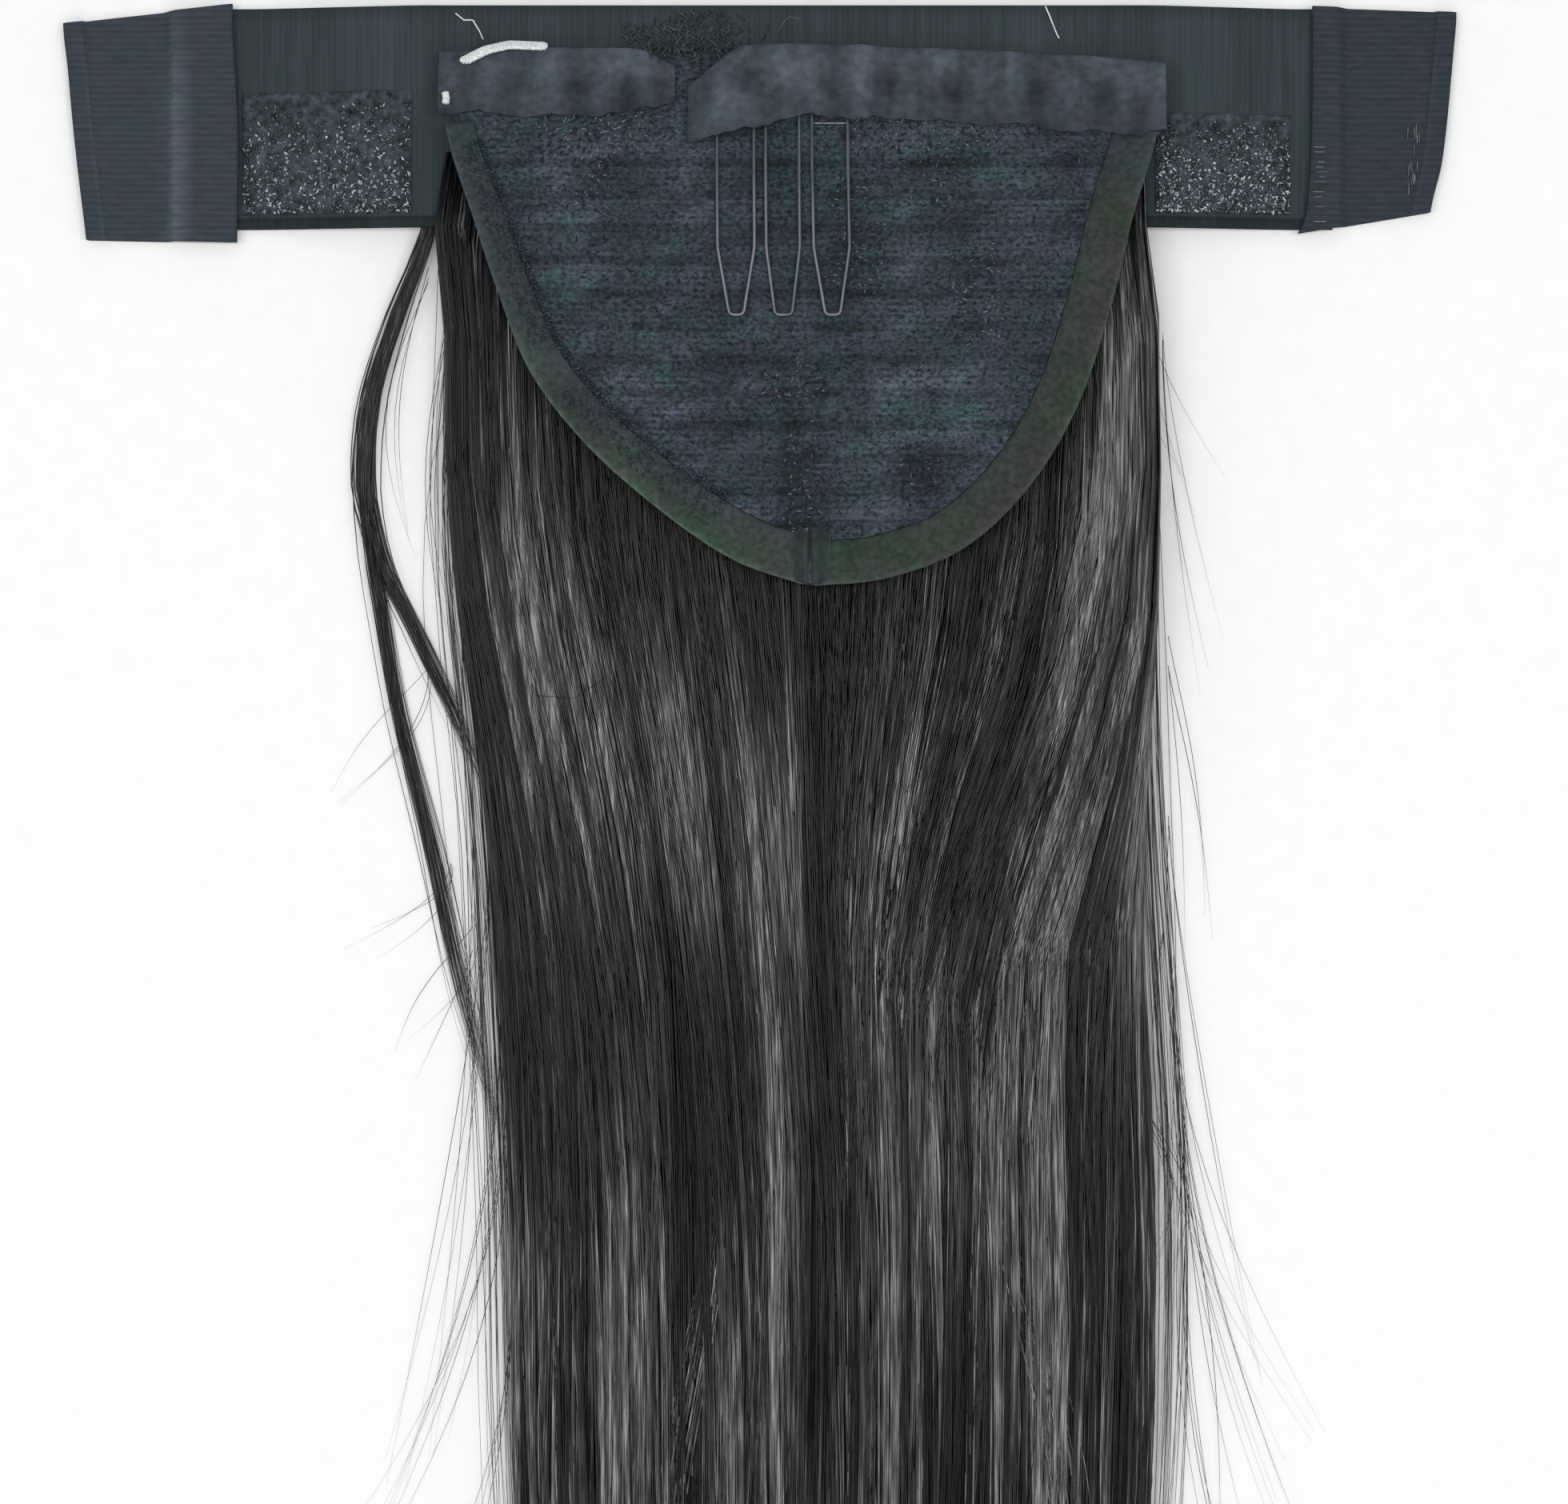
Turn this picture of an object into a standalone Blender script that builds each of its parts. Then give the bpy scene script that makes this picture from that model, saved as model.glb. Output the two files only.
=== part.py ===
"""Wrap-round ponytail hairpiece, lying flat with its inner side up.

A broad elastic strap with hook-and-loop pile and two folded ribbon ends
carries a shallow net cap with a soft edge binding, two puckered tapes and a
wire comb. Straight hair hangs from rows of weft under the net, in an inner
layer over the strap and an outer layer under it.

Metres. X runs along the strap, Y towards the strap, Z up off the surface.
The origin is on the surface under the middle of the whole piece.
"down" is the distance from the top of the piece, towards the hair tips.
"""
import math
from collections import namedtuple

import bmesh
import bpy

MM = 0.001
GAP = 0.35 * MM

# Driving sizes
LENGTH = 406.0 * MM
SPAN = 253.2 * MM
TOP_Y = LENGTH / 2

# Strap
STRAP_HEIGHT = 40.0 * MM
STRAP_THICK = 1.2 * MM
STRAP_TOP_DOWN = 0.7 * MM
STRAP_LEFT_END = -105.5 * MM
STRAP_RIGHT_END = 104.0 * MM
STRAP_STEPS = 26
SELVEDGE_WIDTH = 2.0 * MM
SELVEDGE_RAISE = 0.35 * MM

# Cap
NET_THICK = 1.0 * MM
NET_INSET = 1.7 * MM
NET_ROWS = 16
NET_COLUMNS = 16
CAP_DEPTH = 106.2 * MM
RIM_RISE = 2.6 * MM
LEFT_CURL = 1.5 * MM
BINDING_PLY = 1.0 * MM
BINDING_UNDER_WIDTH = 5.0 * MM
BINDING_STEPS = 34
BINDING_START = 0.17

# Rows of weft under the net
WEFT_COUNT = 11
WEFT_FIRST_DOWN = 30.0 * MM
WEFT_PITCH = 5.9 * MM
WEFT_WIDTH = 2.2 * MM
WEFT_THICK = 1.1 * MM
WEFT_CLEAR = 1.5 * MM
WEFT_STEPS = 9

# Puckered tapes
TAPE_THICK = 1.1 * MM
PUCKER_PITCH = 13.0 * MM
PUCKER_HEIGHT = 1.1 * MM
TAPE_STEP = 3.1 * MM
COMB_BULGE = 2.0 * MM

# Wire comb
WIRE_RADIUS = 0.5 * MM
WIRE_SIDES = 6
COMB_TOP_DOWN = 17.0 * MM
COMB_BEND_DOWN = 30.0 * MM
COMB_SHOULDER_DOWN = 45.5 * MM
COMB_FOOT_DOWN = 57.6 * MM
COMB_CORNER = 0.9 * MM
COMB_CLEAR = 0.25 * MM

# Pile pads on the strap
PILE_THICK = 0.9 * MM
PILE_EDGE = 0.5 * MM
PILE_STEPS = 8

# Hair
ROOT_OUTER_DOWN = 2.0 * MM
ROOT_INNER_DOWN = 26.0 * MM
COLUMNS_PER_LOCK = 3
TIP_ZONE_DOWN = 272.0 * MM
INNER_SHORTER = 9.0 * MM
STRAP_EDGE_RAMP = 5.0 * MM
SIDE_LIFT = 1.5 * MM
PARTING_SPREAD = 0.085
PARTING_START_DOWN = 100.0 * MM
PARTING_END_DOWN = 195.0 * MM
LOCK_SIDES = 6

HairRow = namedtuple("HairRow", "down left right middle crown side_drop")
HAIR_ROWS = [
    HairRow(2, -56.0, 70.0, 6.0, 6.4, 0.0),
    HairRow(26, -60.8, 69.2, 6.0, 7.9, 0.0),
    HairRow(30, -60.4, 69.2, 6.0, 9.3, 0.0),
    HairRow(42, -59.0, 69.6, 6.0, 10.9, 0.0),
    HairRow(57, -57.6, 73.2, 6.2, 11.4, 2.2),
    HairRow(86, -57.2, 74.5, 6.6, 11.9, 2.8),
    HairRow(107, -55.4, 74.0, 6.8, 12.4, 3.0),
    HairRow(144, -50.2, 74.2, 7.0, 13.4, 3.0),
    HairRow(173, -48.0, 75.7, 7.0, 13.2, 3.0),
    HairRow(216, -45.8, 77.8, 6.6, 12.6, 2.8),
    HairRow(272, -45.1, 77.1, 5.8, 11.2, 2.4),
    HairRow(330, -41.5, 73.0, 4.6, 8.6, 1.6),
    HairRow(407, -35.0, 66.0, 1.5, 2.7, 0.2),
]

Lock = namedtuple("Lock", "width crest groove tip_short")
LOCKS = [
    Lock(0.70, 0.3, 0.5, 26),
    Lock(1.00, 0.7, 0.6, 14),
    Lock(1.15, 0.4, 0.9, 7),
    Lock(0.85, 0.8, 0.5, 11),
    Lock(1.20, 0.5, 1.0, 0),
    Lock(0.95, 0.9, 0.6, 6),
    Lock(1.10, 0.5, 1.7, 2),
    Lock(1.05, 0.6, 0.8, 7),
    Lock(0.90, 0.9, 0.6, 12),
    Lock(1.20, 0.5, 1.1, 6),
    Lock(1.00, 0.8, 0.5, 10),
    Lock(1.10, 0.5, 0.9, 7),
    Lock(0.85, 0.8, 0.6, 16),
    Lock(0.75, 0.3, 0.5, 28),
]
NOTCH_DEPTH = 8.0 * MM
LOCK_LEAN = 0.6

STATIONS = [14, 28, 41.2, 46.4, 57, 72, 88, 104, 120, 138, 158, 184, 212, 242]
TIP_STATIONS = [0.0, 0.32, 0.62, 0.86, 1.0]

RimRow = namedtuple("RimRow", "along left_x left_down right_x right_down band")
RIM_ROWS = [
    RimRow(0.00, -57.5, 9.2, 73.5, 11.3, 5.0),
    RimRow(0.14, -56.0, 25.0, 71.0, 26.0, 5.2),
    RimRow(0.28, -51.0, 40.4, 66.6, 40.4, 5.6),
    RimRow(0.42, -46.6, 53.5, 62.6, 56.5, 6.0),
    RimRow(0.55, -40.7, 68.1, 56.7, 74.0, 6.6),
    RimRow(0.68, -30.6, 81.2, 48.0, 88.5, 7.4),
    RimRow(0.80, -17.5, 92.8, 36.4, 99.4, 8.2),
    RimRow(0.91, -4.4, 101.6, 22.4, 104.8, 8.6),
    RimRow(1.00, 8.7, 106.2, 8.7, 106.2, 8.6),
]
RIGHT_BAND = 8.0 * MM

CapRow = namedtuple("CapRow", "down height")
CAP_ROWS = [
    CapRow(8, 5.75),
    CapRow(14, 6.4),
    CapRow(20, 8.5),
    CapRow(28, 11.1),
    CapRow(36, 12.5),
    CapRow(46, 13.0),
    CapRow(70, 13.5),
    CapRow(108, 14.3),
]

StrapRow = namedtuple("StrapRow", "x height")
STRAP_ROWS = [
    StrapRow(-106, 0.0),
    StrapRow(-92, 0.0),
    StrapRow(-77, 2.1),
    StrapRow(-62, 4.1),
    StrapRow(-55, 4.1),
    StrapRow(60, 4.1),
    StrapRow(71, 4.1),
    StrapRow(84, 2.1),
    StrapRow(97, 0.0),
    StrapRow(105, 0.0),
]

TapeRow = namedtuple("TapeRow", "x upper lower")
LEFT_TAPE_ROWS = [
    TapeRow(-57.6, 9.6, 20.6),
    TapeRow(-40.0, 8.8, 21.4),
    TapeRow(-27.0, 8.9, 21.0),
    TapeRow(-15.2, 9.4, 18.8),
]
RIGHT_TAPE_ROWS = [
    TapeRow(-13.0, 10.6, 26.2),
    TapeRow(-6.0, 9.0, 25.0),
    TapeRow(1.0, 8.5, 22.8),
    TapeRow(9.0, 8.5, 21.8),
    TapeRow(26.0, 8.8, 22.2),
    TapeRow(50.0, 9.8, 23.6),
    TapeRow(65.0, 10.8, 24.8),
    TapeRow(73.0, 11.6, 24.2),
]

Tooth = namedtuple("Tooth", "top_x foot_x spread foot")
TEETH = [
    Tooth(-4.3, -4.1, 6.6, 2.5),
    Tooth(4.1, 4.3, 6.0, 3.0),
    Tooth(12.6, 13.1, 6.4, 2.6),
]

Tab = namedtuple("Tab", "down inset inner_x")
LEFT_TAB_ROWS = [
    Tab(0.0, 2.4, -97.5),
    Tab(3.2, 0.0, -95.6),
    Tab(22.0, 2.0, -94.6),
    Tab(43.2, 4.4, -94.8),
]
RIGHT_TAB_ROWS = [
    Tab(0.4, 1.0, 100.2),
    Tab(3.0, 0.0, 100.2),
    Tab(24.0, 2.0, 100.0),
    Tab(38.0, 4.4, 99.0),
    Tab(41.6, 11.7, 97.6),
]
TAB_THICK = 1.2 * MM
TAB_HEM = 3.6 * MM
TAB_STEP_WIDTH = 2.4 * MM

LockRow = namedtuple("LockRow", "down x height half_width")
LOOSE_OUTER_ROWS = [
    LockRow(42.6, -60.4, 3.2, 1.0),
    LockRow(57.0, -66.0, 1.9, 1.5),
    LockRow(72.0, -70.4, 1.5, 1.7),
    LockRow(87.0, -71.6, 1.4, 1.7),
    LockRow(99.0, -70.4, 1.4, 1.7),
    LockRow(110.0, -68.4, 1.4, 1.6),
    LockRow(129.0, -65.5, 1.3, 1.3),
    LockRow(152.5, -59.7, 1.2, 1.2),
    LockRow(180.0, -53.8, 1.1, 1.0),
    LockRow(203.0, -47.6, 1.6, 0.5),
]
LOOSE_INNER_ROWS = [
    LockRow(104.0, -66.95, 1.5, 0.5),
    LockRow(112.0, -63.4, 1.5, 1.1),
    LockRow(120.0, -59.6, 1.6, 1.3),
    LockRow(129.0, -55.4, 1.7, 1.1),
    LockRow(137.0, -52.35, 2.0, 0.6),
]
LOOSE_HALF_HEIGHT = 0.8 * MM
LOOSE_STEPS_OUTER = 22
LOOSE_STEPS_INNER = 8

COLOURS = {
    "hair": ((0.020, 0.019, 0.019), 0.38, 0.0),
    "net": ((0.045, 0.060, 0.085), 0.85, 0.0),
    "binding": ((0.055, 0.070, 0.065), 0.80, 0.0),
    "tape": ((0.060, 0.060, 0.085), 0.80, 0.0),
    "strap": ((0.050, 0.065, 0.070), 0.85, 0.0),
    "pile": ((0.060, 0.075, 0.085), 0.95, 0.0),
    "end_ribbon": ((0.050, 0.055, 0.075), 0.75, 0.0),
    "comb_steel": ((0.55, 0.55, 0.58), 0.30, 1.0),
    "weft": ((0.030, 0.030, 0.035), 0.80, 0.0),
}


def clear_scene():
    """Start from an empty scene."""
    for item in list(bpy.data.objects):
        bpy.data.objects.remove(item, do_unlink=True)


def finish(slot):
    """The material of one finish, made once."""
    material = bpy.data.materials.get(slot)
    if material is None:
        colour, roughness, metallic = COLOURS[slot]
        material = bpy.data.materials.new(slot)
        material.use_nodes = True
        shader = material.node_tree.nodes["Principled BSDF"]
        shader.inputs["Base Color"].default_value = (*colour, 1.0)
        shader.inputs["Roughness"].default_value = roughness
        shader.inputs["Metallic"].default_value = metallic
    return material


def smooth_step(value):
    """0 to 1 with soft ends."""
    value = min(max(value, 0.0), 1.0)
    return value * value * (3.0 - 2.0 * value)


def slope_at(rows, index, column):
    """Slope of a table's column at one of its rows."""
    first = max(index - 1, 0)
    last = min(index + 1, len(rows) - 1)
    run = rows[last][0] - rows[first][0]
    return (getattr(rows[last], column) - getattr(rows[first], column)) / run


def read_table(rows, at, column):
    """Value of a column on the smooth curve through a table's rows."""
    at = min(max(at, rows[0][0]), rows[-1][0])
    index = 0
    while index < len(rows) - 2 and at > rows[index + 1][0]:
        index += 1
    start, end = rows[index], rows[index + 1]
    run = end[0] - start[0]
    t = (at - start[0]) / run
    rise_in = slope_at(rows, index, column) * run
    rise_out = slope_at(rows, index + 1, column) * run
    return ((2 * t ** 3 - 3 * t ** 2 + 1) * getattr(start, column)
            + (t ** 3 - 2 * t ** 2 + t) * rise_in
            + (3 * t ** 2 - 2 * t ** 3) * getattr(end, column)
            + (t ** 3 - t ** 2) * rise_out)


def point(x, down, z):
    """A place given by its distance down from the top of the piece."""
    return (x, TOP_Y - down, z)


def make_object(name, places, faces, slot):
    """One closed mesh with its faces pointing out."""
    mesh = bpy.data.meshes.new(name)
    mesh.from_pydata(places, [], faces)
    shape = bmesh.new()
    shape.from_mesh(mesh)
    bmesh.ops.recalc_face_normals(shape, faces=shape.faces)
    shape.to_mesh(mesh)
    shape.free()
    mesh.shade_smooth()
    mesh.set_sharp_from_angle(angle=math.radians(50))
    mesh.materials.append(finish(slot))
    item = bpy.data.objects.new(name, mesh)
    bpy.context.scene.collection.objects.link(item)
    return item


def tube(name, rings, slot):
    """A solid through a row of closed sections, capped at both ends."""
    size = len(rings[0])
    places = [place for ring in rings for place in ring]
    faces = []
    for row in range(len(rings) - 1):
        for column in range(size):
            after = (column + 1) % size
            faces.append((row * size + column, row * size + after,
                          (row + 1) * size + after, (row + 1) * size + column))
    last = (len(rings) - 1) * size
    faces.append(tuple(reversed(range(size))))
    faces.append(tuple(range(last, last + size)))
    return make_object(name, places, faces, slot)


def slab(name, upper, lower, slot):
    """A solid between two sheets of points with the same rows and columns."""
    rows, columns = len(upper), len(upper[0])
    places = [place for row in upper for place in row]
    places += [place for row in lower for place in row]
    under = rows * columns
    faces = []
    for row in range(rows - 1):
        for column in range(columns - 1):
            a = row * columns + column
            b = a + 1
            c = b + columns
            d = a + columns
            faces.append((a, b, c, d))
            faces.append((under + d, under + c, under + b, under + a))
    border = [column for column in range(columns)]
    border += [row * columns + columns - 1 for row in range(1, rows)]
    border += [(rows - 1) * columns + column for column in range(columns - 2, -1, -1)]
    border += [row * columns for row in range(rows - 2, 0, -1)]
    for index, here in enumerate(border):
        after = border[(index + 1) % len(border)]
        faces.append((here, under + here, under + after, after))
    return make_object(name, places, faces, slot)


def steps(start, end, count):
    """Evenly spaced values, both ends included."""
    return [start + (end - start) * index / (count - 1) for index in range(count)]


# Heights of the stack

def strap_under(x):
    """Underside of the strap above the surface."""
    return max(0.0, read_table(STRAP_ROWS, x / MM, "height") * MM)


def rim_x(down, side):
    """Where the cap's rim crosses a line across the cap, on one side."""
    x_name, down_name = side + "_x", side + "_down"
    for start, end in zip(RIM_ROWS, RIM_ROWS[1:]):
        low, high = getattr(start, down_name) * MM, getattr(end, down_name) * MM
        if down <= high:
            share = max(0.0, (down - low) / (high - low))
            first, last = getattr(start, x_name) * MM, getattr(end, x_name) * MM
            return first + (last - first) * share
    return RIM_ROWS[-1].left_x * MM


def net_under(x, down):
    """Underside of the net: raised by the hair, with its rim curling up."""
    left, right = rim_x(down, "left"), rim_x(down, "right")
    width = max(right - left, 1.0 * MM)
    across = min(max((x - left) / width, 0.0), 1.0)
    depth = min(down / CAP_DEPTH, 1.0)
    side = abs(2 * across - 1) ** 4
    dish = 1 - (1 - side) * (1 - depth ** 8)
    free = smooth_step((down - 24 * MM) / (26 * MM))
    curl = LEFT_CURL * max(0.0, 1 - 2 * across) ** 4 * (1 - depth ** 4)
    base = read_table(CAP_ROWS, down / MM, "height") * MM
    return base + free * (RIM_RISE * dish + curl)


def net_over(x, down):
    """Upper face of the net."""
    return net_under(x, down) + NET_THICK


# Hair

def lock_columns():
    """Places across a layer: share of the width, lock and place in the lock."""
    total = sum(lock.width for lock in LOCKS)
    columns = []
    start = 0.0
    for lock in LOCKS:
        for step in range(COLUMNS_PER_LOCK):
            inside = step / COLUMNS_PER_LOCK
            columns.append(((start + lock.width * inside) / total, lock, inside))
        start += lock.width
    columns.append((1.0, LOCKS[-1], 1.0))
    return columns


def groove_before(lock):
    """Depth of the groove on a lock's left side."""
    index = LOCKS.index(lock)
    return LOCKS[index - 1].groove if index else lock.groove


def hair_x(share, down):
    """The locks part at the middle under the cap and close up further down."""
    left = read_table(HAIR_ROWS, down / MM, "left") * MM
    right = read_table(HAIR_ROWS, down / MM, "right") * MM
    closing = (down - PARTING_START_DOWN) / (PARTING_END_DOWN - PARTING_START_DOWN)
    spread = PARTING_SPREAD * (1 - smooth_step(closing))
    if share < 0.5:
        spread *= 0.45
    return left + (right - left) * (share - spread * math.sin(2 * math.pi * share))


def lock_swell(inside):
    """How full a lock is across its width: none at its grooves, most on its left."""
    if inside in (0.0, 1.0):
        return 0.0
    return 1.0 - LOCK_LEAN * (inside - 1 / COLUMNS_PER_LOCK)


def lock_relief(lock, inside, scale):
    """Height of a lock's rounded crest, less the grooves on its two sides."""
    crest = lock.crest * lock_swell(inside)
    groove = 0.0
    if inside == 0.0:
        groove = groove_before(lock)
    if inside == 1.0:
        groove = lock.groove
    return (crest - groove) * MM * scale


def hair_layer(name, root_down, shorter, inner):
    """One layer of straight locks, fused side by side, with pointed tips."""
    columns = lock_columns()
    downs = [root_down] + [value * MM for value in STATIONS if value * MM > root_down + 1 * MM]
    upper, lower = [], []
    tip_rows = len(TIP_STATIONS)
    for row in range(len(downs) + tip_rows):
        top_line, bottom_line = [], []
        for share, lock, inside in columns:
            tip = LENGTH - shorter - lock.tip_short * MM
            tip -= NOTCH_DEPTH * (1 - lock_swell(inside))
            if row < len(downs):
                down = downs[row]
            else:
                down = TIP_ZONE_DOWN + (tip - TIP_ZONE_DOWN) * TIP_STATIONS[row - len(downs)]
            top, bottom = layer_heights(share, lock, inside, down, inner)
            x = hair_x(share, down)
            top_line.append(point(x, down, top))
            bottom_line.append(point(x, down, bottom))
        upper.append(top_line)
        lower.append(bottom_line)
    return slab(name, upper, lower, "hair")


def layer_heights(share, lock, inside, down, inner):
    """Upper and lower height of a layer at one place."""
    middle = read_table(HAIR_ROWS, down / MM, "middle") * MM
    crown = read_table(HAIR_ROWS, down / MM, "crown") * MM
    drop = read_table(HAIR_ROWS, down / MM, "side_drop") * MM
    edge = abs(2 * share - 1) ** 6
    seam = middle - drop * edge
    body = (crown - middle) / (6.4 * MM)
    relief = lock_relief(lock, inside, min(1.0, body))
    if inner:
        top = seam + (crown - middle) * (1 - 0.7 * edge)
        room = smooth_step((down - ROOT_INNER_DOWN) / (6 * MM))
        return top + (relief - lock.crest * MM * body) * room, seam
    past_strap = (down - STRAP_TOP_DOWN - STRAP_HEIGHT) / STRAP_EDGE_RAMP
    under_strap = (STRAP_THICK + SELVEDGE_RAISE + GAP) * (1 - smooth_step(past_strap))
    lift = SIDE_LIFT * edge * min(1.0, middle / (6 * MM))
    grooves = max(0.0, lock.crest * MM - relief) * 0.5 * min(1.0, middle / (6 * MM))
    if inside not in (0.0, 1.0):
        grooves = 0.0
    return seam - GAP - under_strap, lift + grooves


def loose_lock(name, rows, count):
    """A single lock that strays from the side of the hair."""
    rings = []
    for down in steps(rows[0].down, rows[-1].down, count):
        x = read_table(rows, down, "x") * MM
        height = read_table(rows, down, "height") * MM
        wide = read_table(rows, down, "half_width") * MM
        tall = min(LOOSE_HALF_HEIGHT, wide)
        ring = []
        for side in range(LOCK_SIDES):
            turn = 2 * math.pi * side / LOCK_SIDES
            ring.append(point(x + wide * math.cos(turn), down * MM,
                              height + tall * math.sin(turn)))
        rings.append(ring)
    return tube(name, rings, "hair")


# Strap, pile and ribbon ends

def wrap_strap():
    """The elastic strap, thin in the field and thicker at its selvedges."""
    rings = []
    low = STRAP_TOP_DOWN + STRAP_HEIGHT
    for x in steps(STRAP_LEFT_END, STRAP_RIGHT_END, STRAP_STEPS):
        under = strap_under(x)
        over = under + STRAP_THICK
        section = [
            (STRAP_TOP_DOWN, under), (STRAP_TOP_DOWN, over - 0.2 * MM),
            (STRAP_TOP_DOWN + 0.3 * MM, over), (low - SELVEDGE_WIDTH, over),
            (low - SELVEDGE_WIDTH * 0.6, over + SELVEDGE_RAISE),
            (low - SELVEDGE_WIDTH * 0.3, over + SELVEDGE_RAISE),
            (low, over - 0.2 * MM), (low, under),
        ]
        rings.append([point(x, down, z) for down, z in section])
    tube("wrap_strap", rings, "strap")


def pile_pad(name, start_x, end_x, upper_down, lower_down):
    """A pad of loop pile that follows the strap under it."""
    rings = []
    for index, x in enumerate(steps(start_x, end_x, PILE_STEPS)):
        base = strap_under(x) + STRAP_THICK + GAP
        thick = PILE_THICK * (0.5 if index in (0, PILE_STEPS - 1) else 1.0)
        section = [
            (upper_down, base), (upper_down, base + thick * 0.5),
            (upper_down + PILE_EDGE, base + thick), (lower_down - PILE_EDGE, base + thick),
            (lower_down, base + thick * 0.5), (lower_down, base),
        ]
        rings.append([point(x, down, z) for down, z in section])
    tube(name, rings, "pile")


def end_tab(name, rows, strap_end, side):
    """A ribbon end: hemmed double at the tip, stepping up onto the strap."""
    rings = []
    on_strap = STRAP_THICK + SELVEDGE_RAISE + GAP
    for row in rows:
        down = row.down * MM
        outer, inner = side * (SPAN / 2 - row.inset * MM), row.inner_x * MM
        hem = outer - side * TAB_HEM
        foot = strap_end + side * (TAB_STEP_WIDTH + 0.5 * MM)
        rise = strap_end + side * 0.5 * MM
        section = [
            (outer, 0.3 * MM), (outer, 2 * TAB_THICK - 0.3 * MM),
            (outer - side * 0.6 * MM, 2 * TAB_THICK), (hem, 2 * TAB_THICK),
            (hem - side * 0.5 * MM, TAB_THICK), (foot, TAB_THICK),
            (rise, on_strap + TAB_THICK), (inner, on_strap + TAB_THICK),
            (inner, on_strap), (rise, on_strap), (foot - side * 0.6 * MM, 0.0),
            (outer - side * 0.5 * MM, 0.0),
        ]
        rings.append([point(x, down, z) for x, z in section])
    tube(name, rings, "end_ribbon")


# Cap

def rim_point(along, side):
    """A place on the cap's outline, left or right side."""
    x = read_table(RIM_ROWS, along, side + "_x") * MM
    down = read_table(RIM_ROWS, along, side + "_down") * MM
    return x, down


def inset_rim(along, side, distance):
    """A rim place moved in towards the middle of the cap."""
    ahead = rim_point(min(along + 0.01, 1.0), side)
    behind = rim_point(max(along - 0.01, 0.0), side)
    run_x, run_down = ahead[0] - behind[0], ahead[1] - behind[1]
    length = math.hypot(run_x, run_down)
    turn = 1 if side == "left" else -1
    here = rim_point(along, side)
    return (here[0] + turn * distance * run_down / length,
            here[1] - turn * distance * run_x / length)


def cap_net():
    """The shallow net cap, a thin wall from its sewn top edge to its point."""
    upper, lower = [], []
    for row in steps(0.0, 1.0, NET_ROWS):
        along = row ** 1.5 * 0.985
        left = inset_rim(along, "left", NET_INSET)
        right = inset_rim(along, "right", NET_INSET)
        top_line, bottom_line = [], []
        for share in steps(0.0, 1.0, NET_COLUMNS):
            x = left[0] + (right[0] - left[0]) * share
            down = left[1] + (right[1] - left[1]) * share
            top_line.append(point(x, down, net_over(x, down)))
            bottom_line.append(point(x, down, net_under(x, down)))
        upper.append(top_line)
        lower.append(bottom_line)
    slab("cap_net", upper, lower, "net")


def binding_section(along, side, band):
    """Section of the binding folded round the edge of the net."""
    ply = BINDING_PLY
    inside = NET_INSET
    shape = [
        (band, "over", GAP + ply), (0.5 * MM, "over", GAP + ply), (0.0, "over", GAP + 0.4 * ply),
        (0.0, "under", -GAP - 0.4 * ply), (0.5 * MM, "under", -GAP - ply),
        (BINDING_UNDER_WIDTH, "under", -GAP - ply), (BINDING_UNDER_WIDTH, "under", -GAP),
        (inside - GAP, "under", -GAP), (inside - GAP, "over", GAP), (band, "over", GAP),
    ]
    ring = []
    for distance, face, height in shape:
        x, down = inset_rim(along, side, distance)
        base = net_over(x, down) if face == "over" else net_under(x, down)
        ring.append(point(x, down, base + height))
    return ring


def edge_binding():
    """The soft binding from one top corner round the point to the other."""
    rings = []
    half = BINDING_STEPS // 2
    for along in steps(BINDING_START, 0.985, half):
        band = read_table(RIM_ROWS, along, "band") * MM
        rings.append(binding_section(along, "left", band))
    for along in steps(0.985, BINDING_START, half):
        rings.append(binding_section(along, "right", RIGHT_BAND))
    tube("edge_binding", rings, "binding")


def weft_margin(down, side):
    """Room across the cap that keeps a weft clear of the binding's under ply."""
    low = down + WEFT_WIDTH
    run = rim_x(low + WEFT_WIDTH, side) - rim_x(low, side)
    slant = math.hypot(run, WEFT_WIDTH) / WEFT_WIDTH
    return (BINDING_UNDER_WIDTH + WEFT_CLEAR) * slant + abs(run)


def weft_tracks():
    """Sewn rows of weft across the outer side of the net."""
    for index in range(WEFT_COUNT):
        down = WEFT_FIRST_DOWN + WEFT_PITCH * index
        left = rim_x(down, "left") + weft_margin(down, "left")
        right = rim_x(down, "right") - weft_margin(down, "right")
        rings = []
        for x in steps(left, right, WEFT_STEPS):
            ring = []
            for offset, thick in ((0.0, 0.0), (WEFT_WIDTH, 0.0),
                                  (WEFT_WIDTH, WEFT_THICK), (0.0, WEFT_THICK)):
                place = down + offset
                ring.append(point(x, place, net_under(x, place) - GAP - thick))
            rings.append(ring)
        tube(f"weft_track_{index + 1:02d}", rings, "weft")


def comb_bulge(x):
    """The tape is lifted where the comb's wire passes under it."""
    left = (TEETH[0].top_x - TEETH[0].spread / 2 - 2.5) * MM
    right = (TEETH[-1].top_x + TEETH[-1].spread / 2 + 2.5) * MM
    soft = 4.0 * MM
    inside = smooth_step((x - left + soft) / soft) * smooth_step((right + soft - x) / soft)
    return COMB_BULGE * inside


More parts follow.
